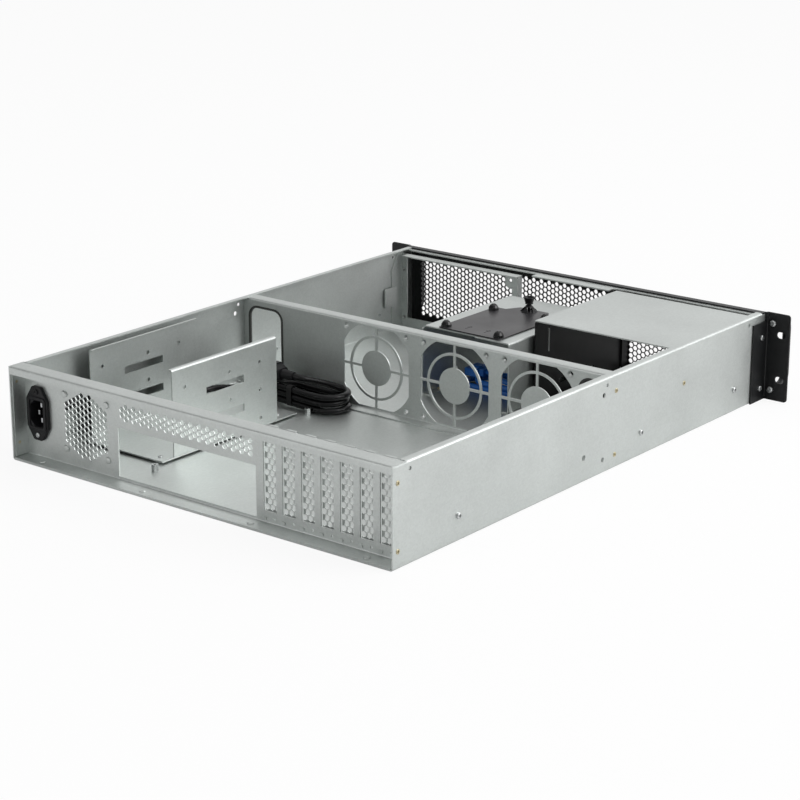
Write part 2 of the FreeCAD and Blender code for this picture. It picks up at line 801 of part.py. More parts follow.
def bay_mouth(index):
    z0 = bay_mouth_sill + index * bay_pitch
    return (bay_mouth_low_x, bay_mouth_low_x + bay_mouth_width, z0, z0 + bay_pitch)


def front_vent_centres():
    low = bay_cage_x + 8.0
    high = wall_inner - front_vent_inset
    keep_out = (controls_low_x - 3, controls_low_x + controls_width + 3, controls_sill + controls_height + 3)
    reach = front_vent_hole * 0.58

    def keep(x, z):
        inside_x = keep_out[0] - reach < x < keep_out[1] + reach
        return not (inside_x and z < keep_out[2] + reach)
    return punching(low, high, front_vent_sill, front_vent_sill + front_vent_height,
                    front_vent_pitch, front_vent_hole, keep)


def front_panel():
    skin = [(front_flange, case_height), (0, case_height), (0, 0)]
    span = half_width - 0.2
    body = folded(skin, front_sheet, on_yz(-span), Vector(2 * span, 0, 0))
    y0 = -1
    y1 = front_sheet + 1
    cutters = hex_cutters(front_vent_centres(), front_vent_hole, y0, y1)
    low, high = bay_mouth(0)[0:2]
    cutters.append(block(low, high, y0, y1, bay_mouth_sill, bay_mouth_sill + bay_count * bay_pitch))
    cutters.append(block(controls_low_x, controls_low_x + controls_width, y0, y1,
                         controls_sill, controls_sill + controls_height))
    return cut_all(body, cutters)


def bay_cover(index):
    x0, x1, z0, z1 = bay_mouth(index)
    gap = bay_cover_gap
    x0 += gap
    x1 -= gap
    z0 += gap / 2
    z1 -= gap / 2
    depth = 12.0
    skin = [(x0, depth), (x0, 0), (x1, 0), (x1, depth)]
    body = folded(skin, bay_cover_sheet, on_xy(z0), Vector(0, 0, z1 - z0))
    centres = punching(x0 + 9, x1 - 9, z0 + 2.5, z1 - 2.5, front_vent_pitch, front_vent_hole)
    return cut_all(body, hex_cutters(centres, front_vent_hole, -1, bay_cover_sheet + 1))


def top_strip():
    z1 = case_height - front_sheet
    z0 = z1 - sheet
    y0 = front_sheet + bend + 0.2
    y1 = front_flange + top_strip_depth
    span = wall_inner - 0.3
    middle = (bay_cage_x + frame_low_x) / 2 - 4.0
    strip = block(-span, span, y0, y1, z0, z1)
    tab = block(middle - top_strip_tab_width / 2, middle + top_strip_tab_width / 2, y0, y0 + top_strip_tab_depth + 6,
                z0, z1)
    corner_cut = plate([(middle - top_strip_tab_width / 2 - 6, y1), (middle - top_strip_tab_width / 2, y1),
                        (middle - top_strip_tab_width / 2, y1 + 3)], on_xy(z0), Vector(0, 0, sheet))
    return strip.fuse(tab).fuse(corner_cut).removeSplitter()


def ear(side):
    outer = side * rack_width / 2
    skin_inner = side * half_width
    flat = [(skin_inner, ear_wing), (skin_inner, 0), (outer, 0)]
    if side > 0:
        skin = flat
    else:
        skin = flat[::-1]
    body = folded(skin, ear_sheet, on_xy(0), Vector(0, 0, case_height))
    body = body.cut(block(side * (half_width - 1), side * (half_width + ear_sheet + 0.6), ear_sheet + 2.4, ear_wing + 1,
                          ear_wing_height, case_height + 1))
    cutters = []
    for z, inward in ((0, 1), (case_height, -1)):
        middle_x = outer - side * ear_corner
        middle_z = z + inward * ear_corner
        corner = block(middle_x, outer + side, -1, ear_sheet + 1, z - inward, middle_z)
        cutters.append(corner.cut(rod_y(2 * ear_corner, middle_x, -2, ear_sheet + 2, middle_z)))
    x = side * rack_hole_pitch_x / 2
    for sz in (-1, 1):
        z = case_height / 2 + sz * rack_hole_pitch_z / 2
        half_l = ear_slot_length / 2
        half_w = ear_slot_width / 2
        cutters.append(slot_plate(x - half_l, x + half_l, -1, ear_sheet + 1, z - half_w, z + half_w,
                                  half_w - 0.05))
        cutters.append(rod_y(4.2, side * handle_x(), -1, ear_sheet + 1, case_height / 2 + sz * handle_pitch / 2))
    for z in ear_screw_heights:
        low = min(side * (half_width - 1), side * (half_width + 4))
        high = max(side * (half_width - 1), side * (half_width + 4))
        cutters.append(rod_x(screw_shank, low, high, ear_screw_setback, z))
    return cut_all(body, cutters)


def handle_x():
    return rack_width / 2 - handle_inset


def handle(side):
    x = side * handle_x()
    z0 = case_height / 2 - handle_pitch / 2
    z1 = case_height / 2 + handle_pitch / 2
    reach = handle_reach - handle_bar / 2
    radius = 11.0
    points = [Vector(x, 0, z0), Vector(x, -reach, z0), Vector(x, -reach, z1), Vector(x, 0, z1)]
    bend_side = radius * (1 - math.sqrt(0.5))
    edges = [Part.LineSegment(points[0], Vector(x, -reach + radius, z0)).toShape(),
             Part.Arc(Vector(x, -reach + radius, z0), Vector(x, -reach + bend_side, z0 + bend_side),
                      Vector(x, -reach, z0 + radius)).toShape(),
             Part.LineSegment(Vector(x, -reach, z0 + radius), Vector(x, -reach, z1 - radius)).toShape(),
             Part.Arc(Vector(x, -reach, z1 - radius), Vector(x, -reach + bend_side, z1 - bend_side),
                      Vector(x, -reach + radius, z1)).toShape(),
             Part.LineSegment(Vector(x, -reach + radius, z1), points[3]).toShape()]
    path = Part.Wire(edges)
    ring = Part.Wire(Part.makeCircle(handle_bar / 2, points[0], Vector(0, -1, 0)))
    bar = path.makePipeShell([ring], True, False)
    for z in (z0, z1):
        foot = rod_y(handle_bar + 2.4, x, -2.0, 0, z)
        bar = bar.fuse(foot)
        bar = bar.cut(rod_y(screw_shank, x, -8.0, 1.0, z))
    return bar.removeSplitter()


def handle_screws():
    screws = []
    for side in (-1, 1):
        for sz in (-1, 1):
            point = Vector(side * handle_x(), ear_sheet, case_height / 2 + sz * handle_pitch / 2)
            screws.append(screw(point, Vector(0, 1, 0), handle_screw_head, screw_head_height, screw_shank,
                                ear_sheet + handle_screw_bite))
    return Part.makeCompound(screws)


def ear_screws():
    screws = []
    for side in (-1, 1):
        for z in ear_screw_heights:
            point = Vector(side * (half_width + ear_sheet), ear_screw_setback, z)
            screws.append(screw(point, Vector(side, 0, 0), screw_head, 1.4, screw_shank, ear_sheet + sheet))
    return Part.makeCompound(screws)


# ---------------------------------------------------------------- bay cage

def bay_cage_cover():
    top = bay_cage_top
    skin = [(bay_cage_x, top), (-wall_inner + seat_gap, top), (-wall_inner + seat_gap, floor_top + 3)]
    body = folded(skin, sheet, on_xz(bay_cage_front), Vector(0, bay_cage_rear - bay_cage_front, 0))
    notch = block(-wall_inner - 1, bay_cage_x + 1, bay_cage_front - 1, front_flange + top_strip_depth + 6.5,
                  top - sheet - 1, top + 1)
    hole = rod_x(screw_shank, -wall_inner - 1, -wall_inner + 3, bay_screw_y, bay_screw_z)
    passing = rod_x(screw_shank + 2, -wall_inner - 1, -wall_inner + 3, rail_screw_places[0], rail_screw_height)
    return body.cut(notch).cut(hole).cut(passing)


def bay_cage_side():
    top = bay_cage_top - sheet - seat_gap
    outer = bay_cage_x
    inner = outer - bay_cage_flange
    skin = [(inner, top), (outer, top), (outer, floor_top), (inner, floor_top)]
    body = folded(skin[::-1], sheet, on_xz(bay_cage_front), Vector(0, bay_cage_rear - bay_cage_front, 0))
    body = body.cut(block(outer - 13, outer + 1, bay_cage_front - 1, front_flange + top_strip_depth + 6.5,
                          top - sheet - 1, top + 1))
    slit_y = bay_cage_rear - cage_slit_inset
    slit = block(outer - 3, outer + 1, slit_y, slit_y + cage_slit_width, 51.5, 75.0)
    slots = [slit]
    for z in (14.0, 55.3):
        slots.append(block(outer - 3, outer + 1, 60.0, 72.0, z, z + 4.2))
        slots.append(block(outer - 3, outer + 1, 108.0, 120.0, z, z + 4.2))
    return cut_all(body, slots)


# ---------------------------------------------------------------- drive cage, tray and knob

def drive_cage():
    low = drive_cage_low_x
    high = drive_cage_high_x
    foot = drive_cage_foot
    top = drive_cage_height
    # Feet turn inwards under the drives.
    skin = [(low + foot, floor_top), (low, floor_top), (low, top), (high, top), (high, floor_top),
            (high - foot, floor_top)]
    depth = drive_cage_rear - drive_cage_front
    body = folded(skin[::-1], sheet, on_xz(drive_cage_front), Vector(0, depth, 0))
    cutters = []
    for z in (floor_top + 12.0, floor_top + 40.0):
        for y in (drive_cage_front + 28.0, drive_cage_front + 88.0):
            cutters.append(block(low - 1, low + 3, y, y + 9.0, z, z + 3.6))
            cutters.append(block(high - 3, high + 1, y, y + 9.0, z, z + 3.6))
    # Stepped rear edge of the top.
    cutters.append(block(low + 40, high + 1, drive_cage_rear - 3.0, drive_cage_rear + 1, top - sheet - 1, top + 1))
    for x, y in tray_screw_places():
        cutters.append(rod_z(screw_shank, x, y, top - sheet - 1, top + 1))
    cutters.append(rod_z(screw_shank, tray_x, knob_y(), top - sheet - 1, top + 1))
    for x, y in cage_foot_places():
        cutters.append(rod_z(screw_shank, x, y, floor_top - 1, floor_top + sheet + 1))
    return cut_all(body, cutters)


def cage_foot_places():
    places = []
    inset = sheet + (drive_cage_foot - sheet) / 2
    for x in (drive_cage_low_x + inset, drive_cage_high_x - inset):
        for y in (drive_cage_front + 22.0, drive_cage_rear - 22.0):
            places.append((x, y))
    return places


def cage_screws():
    screws = []
    for x, y in cage_foot_places():
        screws.append(screw(Vector(x, y, floor_top + sheet), Vector(0, 0, 1), screw_head, 1.6, screw_shank,
                            2 * sheet))
    return Part.makeCompound(screws)


def tray_screw_places():
    places = []
    for sx in (-1, 1):
        for y in (tray_hole_front, tray_hole_front + tray_hole_pitch_y):
            places.append((tray_x + sx * tray_hole_pitch_x / 2, y))
    return places


def knob_y():
    return tray_front + knob_setback


def ssd_tray():
    # A tongue at the front carries the knob, and the shoulders lie further back.
    half = tray_width / 2
    shoulder = tray_front + 14.0
    outline = [(tray_x - half, shoulder), (tray_x - 25, shoulder), (tray_x - 19, tray_front), (tray_x + 15, tray_front),
               (tray_x + 23, shoulder), (tray_x + half, shoulder), (tray_x + half, tray_rear), (tray_x - half, tray_rear)]
    body = plate(outline, on_xy(tray_z), Vector(0, 0, tray_sheet), tray_corner)
    for x, y in tray_screw_places():
        body = body.fuse(rod_z(9.0, x, y, drive_cage_height, tray_z + 0.1))
    body = body.fuse(rod_z(12.0, tray_x, knob_y(), drive_cage_height, tray_z + 0.1)).removeSplitter()
    cutters = []
    for x, y in tray_screw_places():
        cutters.append(rod_z(screw_shank, x, y, drive_cage_height - 1, tray_z + 3))
    cutters.append(rod_z(screw_shank, tray_x, knob_y(), drive_cage_height - 1, tray_z + 3))
    lance_y = tray_rear - tray_lance_inset
    for dx in (-11, 11):
        cutters.append(block(tray_x + dx - 3, tray_x + dx + 3, lance_y, lance_y + 1.0, tray_z - 1, tray_z + 3))
    return cut_all(body, cutters)


# Domed rubber mount with a short stem through the tray and the cage top.
def tray_domes():
    domes = []
    base = tray_z + tray_sheet
    for x, y in tray_screw_places():
        dome = Part.makeCone(dome_diameter / 2, dome_top_diameter / 2, dome_height, Vector(x, y, base))
        top = max(dome.Edges, key=lambda edge: edge.CenterOfMass.z)
        dome = dome.makeFillet(dome_rim, [top])
        stem = rod_z(screw_shank, x, y, drive_cage_height - sheet, base + 0.5)
        domes.append(dome.fuse(stem).removeSplitter())
    return Part.makeCompound(domes)


def tray_knob():
    base = tray_z + tray_sheet
    top = base + knob_height
    cup = knob_diameter / 2
    foot = knob_base / 2
    points = [(0, base), (foot, base), (foot, base + 1.2), (cup * 0.62, base + knob_height * 0.38),
              (cup * 0.52, base + knob_height * 0.5), (cup, base + knob_height * 0.66), (cup, top), (0, top)]
    wire = Part.makePolygon([Vector(r, 0, z) for r, z in points] + [Vector(0, 0, base)])
    body = Part.Face(wire).revolve(Vector(0, 0, 0), Vector(0, 0, 1), 360)
    # Grip flutes between the ribs of the flared foot.
    flutes = []
    for i in range(6):
        flute = rod_z(3.2, foot + 0.4, 0, base + 1.2, base + knob_height * 0.5)
        flute.rotate(Vector(0, 0, 0), Vector(0, 0, 1), 60 * i + 30)
        flutes.append(flute)
    body = cut_all(body, flutes)
    stem = rod_z(screw_shank, 0, 0, drive_cage_height - sheet, base + 0.5)
    body = body.fuse(stem).removeSplitter()
    body.translate(Vector(tray_x, knob_y(), 0))
    return body


# ---------------------------------------------------------------- front fan frame

def front_fan_frame():
    low = frame_low_x
    high = frame_high_x
    y0 = frame_front
    top = frame_height
    chamfer = 8.0
    face_points = [(low, floor_top), (high, floor_top), (high, top), (low, top)]
    face = plate(face_points, on_xz(y0), Vector(0, sheet, 0))
    opening = block(low + frame_low_border + sheet, high - frame_border - sheet, y0 - 1, y0 + sheet + 1,
                    floor_top + 11, top - 4)
    body = face.cut(opening)
    body = body.fuse(block(low, high - chamfer, y0, y0 + frame_depth, top - sheet, top))
    body = body.fuse(block(low, high, y0, y0 + frame_depth, floor_top, floor_top + sheet))
    body = body.fuse(block(low, low + sheet, y0, y0 + frame_low_depth, floor_top, top))
    side_points = [(y0, floor_top), (y0 + frame_side_depth, floor_top), (y0 + frame_side_depth, top - chamfer * 2),
                   (y0 + frame_side_depth * 0.5, top), (y0, top)]
    body = body.fuse(plate(side_points, on_yz(high - sheet), Vector(sheet, 0, 0)))
    body = body.removeSplitter()
    cutters = corner_reliefs(y0 - 1, y0 + frame_side_depth + 1)
    for z in (12.0, 64.6):
        cutters.append(rod_y(3.2, high - sheet - 3.2, y0 - 1, y0 + sheet + 1, z))
        cutters.append(rod_y(3.2, low + sheet + frame_low_border / 2, y0 - 1, y0 + sheet + 1, z))
    return cut_all(body, cutters)


# ---------------------------------------------------------------- front controls

def power_button_place():
    return (controls_low_x + controls_width - 13.0, controls_sill + controls_height - 10.5)


def reset_button_place():
    return (controls_low_x + controls_width - 13.0, controls_sill + 7.5)


usb_width = 13.2
usb_height = 5.8
usb_depth = 14.0


def usb_places():
    x = controls_low_x + 13.0
    return [(x, controls_sill + 8.5), (x, controls_sill + 21.5)]


def led_places():
    x = controls_low_x + controls_width / 2 + 2.0
    return [(x, controls_sill + 9.0), (x, controls_sill + 21.0)]


def control_panel():
    low = controls_low_x
    high = controls_low_x + controls_width
    z0 = controls_sill
    z1 = controls_sill + controls_height
    gap = 0.15
    body = slot_plate(low + gap, high - gap, 0, controls_depth, z0 + gap, z1 - gap, 1.5)
    rim = block(low - 2, high + 2, front_sheet, front_sheet + 1.6, z0 - 2, z1 + 2)
    body = body.fuse(rim).removeSplitter()
    hollow = block(low + 2, high - 2, 2.0, controls_depth + 1, z0 + 2, z1 - 2)
    body = body.cut(hollow)
    px, pz = power_button_place()
    rx, rz = reset_button_place()
    cutters = [rod_y(power_button_diameter + 2 * button_clearance, px, -1, 3, pz),
               rod_y(reset_button_diameter + 2 * button_clearance, rx, -1, 3, rz)]
    for x, z in usb_places():
        cutters.append(block(x - usb_width / 2 - 0.1, x + usb_width / 2 + 0.1, -1, 3,
                             z - usb_height / 2 - 0.1, z + usb_height / 2 + 0.1))
    for x, z in led_places():
        cutters.append(rod_y(3.0, x, -1, 3, z))
    return cut_all(body, cutters)


def push_button(place, diameter, travel_room):
    x, z = place
    cap = rod_y(diameter, x, -button_proud, 2.4, z)
    collar = rod_y(diameter + 2.0, x, 2.3, 3.3, z)
    stem = rod_y(diameter * 0.5, x, 3.2, board_face() - travel_room, z)
    return cap.fuse(collar).fuse(stem).removeSplitter()


def board_face():
    return controls_depth + 4.0


def control_board():
    low = controls_low_x + 1
    high = controls_low_x + controls_width - 1
    board = block(low, high, board_face() + 1.2, board_face() + 2.8, controls_sill, controls_sill + controls_height)
    # Bosses of the panel reach back to the board.
    for x in (low + 1.5, high - 1.5):
        for z in (controls_sill + 1.5, controls_sill + controls_height - 1.5):
            board = board.fuse(block(x - 1.4, x + 1.4, controls_depth, board_face() + 1.3, z - 1.4, z + 1.4))
    for place, size in ((power_button_place(), 6.0), (reset_button_place(), 4.0)):
        x, z = place
        board = board.fuse(block(x - size / 2, x + size / 2, board_face(), board_face() + 1.3,
                                 z - size / 2, z + size / 2))
    return board.removeSplitter()


def usb_ports():
    ports = []
    for x, z in usb_places():
        shell = block(x - usb_width / 2, x + usb_width / 2, 0.2, usb_depth - 2.8, z - usb_height / 2,
                      z + usb_height / 2)
        bore = block(x - usb_width / 2 + 0.5, x + usb_width / 2 - 0.5, -1, usb_depth - 5, z - usb_height / 2 + 0.5,
                     z + usb_height / 2 - 0.5)
        tongue = block(x - 5.4, x + 5.4, 1.6, usb_depth - 4.9, z + 0.2, z + 2.0)
        ports.append(shell.cut(bore).fuse(tongue).removeSplitter())
    return Part.makeCompound(ports)


def status_lights():
    lights = []
    for x, z in led_places():
        lights.append(rod_y(2.8, x, -0.3, board_face() + 1.2, z))
    return Part.makeCompound(lights)


# ---------------------------------------------------------------- standoffs and wall screws

def standoff_places():
    rear = panel_inner - board_rear_gap
    first = window_high_x - board_first_column
    places = [(first, rear - board_io_row), (first, rear - board_front_row)]
    for column in (board_middle_column, board_far_column):
        for row in (board_rear_row, board_middle_row):
            places.append((first - column, rear - row))
    return places


def standoffs():
    posts = []
    for x, y in standoff_places():
        post = plate(hexagon(x, y, standoff_across_flats), on_xy(floor_top), Vector(0, 0, standoff_height))
        posts.append(post.cut(rod_z(standoff_bore, x, y, floor_top + 1.0, floor_top + standoff_height + 1)))
    return Part.makeCompound(posts)


def rail_screws():
    screws = []
    for side in (-1, 1):
        for y in rail_screw_places:
            point = Vector(side * half_width, y, rail_screw_height)
            screws.append(screw(point, Vector(side, 0, 0), screw_head, screw_head_height, screw_shank, sheet + 1.0))
    return Part.makeCompound(screws)


def wall_screws():
    screws = []
    places = []
    for side in (-1, 1):
        for z in fan_wall_screw_heights:
            places.append((side, fan_wall_screw_y, z))
        for z in rear_screw_heights:
            places.append((side, rear_screw_y, z))
    places.append((-1, bay_screw_y, bay_screw_z))
    for side, y, z in places:
        point = Vector(side * half_width, y, z)
        screws.append(screw(point, Vector(side, 0, 0), small_screw_head, 0.5, screw_shank, 2 * sheet + seat_gap))
    return Part.makeCompound(screws)


# ---------------------------------------------------------------- leads

# Points that the mains lead passes from the back of the inlet to its coil, chosen by hand: how
# far from the inlet's middle, how far in front of the rear panel, and the height.
mains_points = [(0.0, 23.8, 43.2), (0.0, 39.8, 43.2), (8.9, 62.8, 32.5), (11.5, 93.8, 14.5),
                (11.3, 139.8, 6.0), (12.0, 185.8, 5.0), (11.5, 221.2, 7.9), (2.2, 238.2, 8.2),
                (-14.3, 247.3, 8.2), (-36.3, 247.3, 8.2)]
mains_route = [(inlet_x + across, panel_inner - forward, z) for across, forward, z in mains_points]

# Points that the data lead passes from the front board to its hank inside the drive cage.
data_route = [(-20.0, 12.8, 20.0), (-20.0, 27.0, 20.0), (-23.5, 51.0, 10.5), (-30.5, 78.0, 5.0),
              (-36.0, 104.0, 4.4), (-36.0, 122.0, 4.4)]


# Round tube along straight runs joined by tangent arcs as large as the runs allow.
def lead_tube(route, diameter, name):
    points = [Vector(*place) for place in route]
    edges = []
    radii = []
    at = points[0]
    length = 0.0
    for i in range(1, len(points) - 1):
        before = points[i] - points[i - 1]
        after = points[i + 1] - points[i]
        turn = before.getAngle(after)
        shorter = min(before.Length, after.Length)
        radius = 0.45 * shorter / math.tan(turn / 2)
        radii.append(radius)
        back = 0.45 * shorter
        before.normalize()
        after.normalize()
        start = points[i] - before * back
        end = points[i] + after * back
        inward = (after - before).normalize()
        middle = points[i] + inward * (radius / math.cos(turn / 2) - radius)
        edges.append(Part.LineSegment(at, start).toShape())
        edges.append(Part.Arc(start, middle, end).toShape())
        at = end
    edges.append(Part.LineSegment(at, points[-1]).toShape())
    path = Part.Wire(edges)
    first = (points[1] - points[0]).normalize()
    ring = Part.Wire(Part.makeCircle(diameter / 2, points[0], first))
    tube = path.makePipeShell([ring], True, False)
    length = path.Length
    section = math.pi * diameter ** 2 / 4
    print(name, "length", round(length, 1), "radii", [round(radius, 1) for radius in radii],
          "volume over section times length", round(tube.Volume / (section * length), 4))
    return tube


# Outer shape of the mains lead's turns: they lie behind the fan wall, pass one standoff and
# climb onto the base of the cradle.
def mains_coil():
    y0 = fan_wall_y + 1.3
    narrow = y0 + mains_coil_narrow
    wide = y0 + mains_coil_wide
    step = standoff_places()[1][0] + standoff_across_flats + 1.0
    outline = [(mains_coil_start, y0), (mains_coil_end, y0), (mains_coil_end, wide),
               (step + mains_coil_wide - mains_coil_narrow, wide), (step, narrow), (mains_coil_start, narrow)]
    corner = mains_coil_corner
    radii = [corner, corner, corner, 10.0, 10.0, corner]
    wire = rounded_wire(outline, radii, on_xy(floor_top))
    coil = Part.Face(wire).extrude(Vector(0, 0, mains_coil_height))
    coil = coil.cut(block(-wall_inner, wall_inner, fan_wall_y, fan_wall_y + fan_wall_foot + 0.2, floor_top - 1,
                          floor_top + sheet))
    return coil.cut(block(cradle_inner_x - 0.5, cradle_outer_x, cradle_front - 0.5, cradle_rear, floor_top - 1,
                          cradle_base_top))


def data_coil():
    y0 = data_coil_front
    y1 = data_coil_front + data_coil_width
    outline = [(data_coil_start, y0), (data_coil_end, y0), (data_coil_end, y1), (data_coil_start, y1)]
    return plate(outline, on_xy(floor_top), Vector(0, 0, data_coil_height), data_coil_corner)


# Short moulded collar where the lead leaves the back of the inlet.
def mains_boot():
    rear = panel_outer - inlet_body_depth
    small = mains_lead_diameter / 2 + 1.2
    return Part.makeCone(small, small + 1.8, mains_boot_length, Vector(inlet_x, rear - mains_boot_length, inlet_height),
                         Vector(0, 1, 0))


# Moulded plug lying on the coil, its boot pointing back along it.
def mains_plug():
    z0 = floor_top + mains_coil_height
    z1 = z0 + plug_height
    y_mid = fan_wall_y + mains_coil_wide / 2 + 4.0
    half = plug_width / 2
    x1 = mains_coil_end + plug_overhang
    x0 = x1 - plug_length
    chamfer = 4.5
    outline = [(y_mid - half, z0), (y_mid + half, z0), (y_mid + half, z1 - chamfer), (y_mid + half - chamfer, z1),
               (y_mid - half + chamfer, z1), (y_mid - half, z1 - chamfer)]
    body = plate(outline, on_yz(x0), Vector(plug_length, 0, 0), 1.2)
    z_mid = (z0 + z1) / 2
    grip_big = [(y_mid - half + 2, z0 + 1), (y_mid + half - 2, z0 + 1), (y_mid + half - 2, z1 - 1),
                (y_mid - half + 2, z1 - 1)]
    grip_small = [(y_mid - 7, z_mid - 5.5), (y_mid + 7, z_mid - 5.5), (y_mid + 7, z_mid + 5.5),
                  (y_mid - 7, z_mid + 5.5)]
    big = rounded_wire(grip_big, [3.0] * 4, on_yz(x0))
    small = rounded_wire(grip_small, [3.0] * 4, on_yz(x0 - plug_grip))
    grip = Part.makeLoft([big, small], True, True)
    boot = Part.makeCone(5.0, mains_lead_diameter / 2 + 0.8, plug_boot, Vector(x0 - plug_grip, y_mid, z_mid),
                         Vector(-1, 0, 0))
    return body.fuse(grip).fuse(boot).removeSplitter()


def data_header():
    z0 = floor_top + data_coil_height
    y_mid = data_coil_front + data_coil_width / 2
    x1 = data_coil_end - 6.0
    body = block(x1 - header_depth, x1, y_mid - header_width / 2, y_mid + header_width / 2, z0, z0 + header_height)
    key = block(x1 - header_depth + 2, x1 - 3, y_mid - 3, y_mid + 3, z0 + header_height,
                z0 + header_height + 1.2)
    boot = block(x1 - header_depth - 5.0, x1 - header_depth, y_mid - 6, y_mid + 6, z0 + 0.6, z0 + header_height - 0.6)
    return body.fuse(key).fuse(boot).removeSplitter()


# ---------------------------------------------------------------- export

os.makedirs("parts", exist_ok=True)

save("chassis_base", chassis_base())
save("rear_panel", rear_panel())
for number in range(slot_count):
    save("slot_cover_" + str(number + 1), slot_cover(number))
save("power_inlet", power_inlet())
save("inlet_pins", inlet_pins())
save("inlet_screws", inlet_screws())
save("psu_cradle", psu_cradle())
save("cradle_screws", cradle_screws())
save("fan_wall", fan_wall())
save("cable_gate_trim", gate_trim(*gate_spans()[0]))
save("side_gate_trim", gate_trim(*gate_spans()[1]))
save("front_panel", front_panel())
for number in range(bay_count):
    save("bay_cover_" + str(number + 1), bay_cover(number))
save("top_strip", top_strip())
save("ear_left", ear(-1))
save("ear_right", ear(1))
save("handle_left", handle(-1))
save("handle_right", handle(1))
save("handle_screws", handle_screws())
save("ear_screws", ear_screws())
save("bay_cage_cover", bay_cage_cover())
save("bay_cage_side", bay_cage_side())
save("drive_cage", drive_cage())
save("ssd_tray", ssd_tray())
save("tray_domes", tray_domes())
save("tray_knob", tray_knob())
save("front_fan_frame", front_fan_frame())
save("control_panel", control_panel())
save("power_button", push_button(power_button_place(), power_button_diameter, power_travel_room))
save("reset_button", push_button(reset_button_place(), reset_button_diameter, power_travel_room))
save("control_board", control_board())
save("usb_ports", usb_ports())
save("status_lights", status_lights())
save("standoffs", standoffs())
save("cage_screws", cage_screws())
save("mains_boot", mains_boot())
save("mains_lead", lead_tube(mains_route, mains_lead_diameter, "mains lead"))
save("mains_coil", mains_coil())
save("mains_plug", mains_plug())
save("data_lead", lead_tube(data_route, data_lead_diameter, "data lead"))
save("data_coil", data_coil())
save("data_header", data_header())
save("rail_screws", rail_screws())
save("wall_screws", wall_screws())
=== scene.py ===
import bpy
import json
from math import cos, pi, radians, sin, sqrt
from mathutils import Matrix, Vector


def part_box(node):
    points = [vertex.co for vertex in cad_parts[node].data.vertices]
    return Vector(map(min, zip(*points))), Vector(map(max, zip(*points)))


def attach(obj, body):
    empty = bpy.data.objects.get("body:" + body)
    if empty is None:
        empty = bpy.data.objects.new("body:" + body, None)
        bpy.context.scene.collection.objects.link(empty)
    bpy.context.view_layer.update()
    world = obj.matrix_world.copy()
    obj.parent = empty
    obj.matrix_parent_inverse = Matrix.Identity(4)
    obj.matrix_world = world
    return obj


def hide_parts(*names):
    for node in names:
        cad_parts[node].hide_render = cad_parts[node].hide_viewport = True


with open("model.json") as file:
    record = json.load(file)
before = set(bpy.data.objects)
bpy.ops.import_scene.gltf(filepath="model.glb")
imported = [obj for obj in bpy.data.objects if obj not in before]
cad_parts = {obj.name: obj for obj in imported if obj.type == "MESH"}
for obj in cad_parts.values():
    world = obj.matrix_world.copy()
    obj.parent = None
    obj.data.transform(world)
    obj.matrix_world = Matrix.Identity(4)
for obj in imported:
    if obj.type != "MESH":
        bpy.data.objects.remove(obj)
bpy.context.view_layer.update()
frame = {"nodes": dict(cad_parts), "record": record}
bpy.ops.object.select_all(action='DESELECT')
millimetre = 0.001
frontY = -271.7  # the sheet parts are measured from the front face, which stands here
beyond = 1.0  # how far a cutter stands out of what it cuts


# A length or a place given in millimetres, the place measured back from the front face.
def mm(value):
    return value * millimetre


def place(x, back, z):
    return Vector((mm(x), mm(back + frontY), mm(z)))


# Camera: behind the case, above it and to one side, with a long lens.
cameraSetup = {
    'name': 'productCamera',
    'place': (-1227.7, 1841.3, 654.1),
    'lens': 101.25,
    'sensor': 36.0,
    'reach': 60.0,
    'down': 17.58,
    'heading': 141.6,
}


def addCamera(setup):
    bpy.ops.object.camera_add(location=place(*setup['place']))
    camera = bpy.context.object
    camera.name = setup['name']
    camera.rotation_euler = (radians(90 - setup['down']), 0, radians(-setup['heading']))
    camera.data.sensor_width = setup['sensor']
    camera.data.lens = setup['lens']
    camera.data.clip_end = setup['reach']
    bpy.context.scene.camera = camera


addCamera(cameraSetup)
print('camera placed')


# An sRGB hex code as a linear colour.
def linearColour(code):
    values = []
    for i in (1, 3, 5):
        c = int(code[i:i + 2], 16) / 255
        values.append(c / 12.92 if c <= 0.04045 else ((c + 0.055) / 1.055) ** 2.4)
    return (*values, 1.0)


def addNode(tree, kind, inputs=None, **settings):
    node = tree.nodes.new(kind)
    for name, value in settings.items():
        setattr(node, name, value)
    for name, value in (inputs or {}).items():
        if isinstance(value, bpy.types.NodeSocket):
            tree.links.new(value, node.inputs[name])
        else:
            node.inputs[name].default_value = value
    return node


def newMaterial(name):
    material = bpy.data.materials.new(name)
    material.use_nodes = True
    tree = material.node_tree
    tree.nodes.clear()
    return material, tree


def finishMaterial(tree, shader):
    addNode(tree, 'ShaderNodeOutputMaterial', {'Surface': shader})


# A colour ramp between two stops.
def addRamp(tree, factor, positions, colours):
    ramp = addNode(tree, 'ShaderNodeValToRGB', {'Fac': factor})
    for element, position, colour in zip(ramp.color_ramp.elements, positions, colours):
        element.position = position
        element.color = colour
    return ramp.outputs['Color']


def twoTones(setup):
    return [linearColour(setup[tone]) for tone in ('dark', 'light')]


# A noise pattern, its grain given in millimetres.
def addNoise(tree, spot, size, detail):
    return addNode(tree, 'ShaderNodeTexNoise', {
        'Vector': spot, 'Scale': 1000 / size, 'Detail': detail}).outputs['Fac']


# A roughness that a pattern varies about its middle value.
def addRoughness(tree, pattern, middle, spread, span=(0.0, 1.0)):
    return addNode(tree, 'ShaderNodeMapRange', {
        'Value': pattern, 'From Min': span[0], 'From Max': span[1],
        'To Min': middle - spread[0], 'To Max': middle + spread[1]}).outputs['Result']


# A fine relief, its depth given in millimetres.
def addBump(tree, height, strength, depth):
    return addNode(tree, 'ShaderNodeBump', {
        'Height': height, 'Strength': strength, 'Distance': mm(depth)}).outputs['Normal']


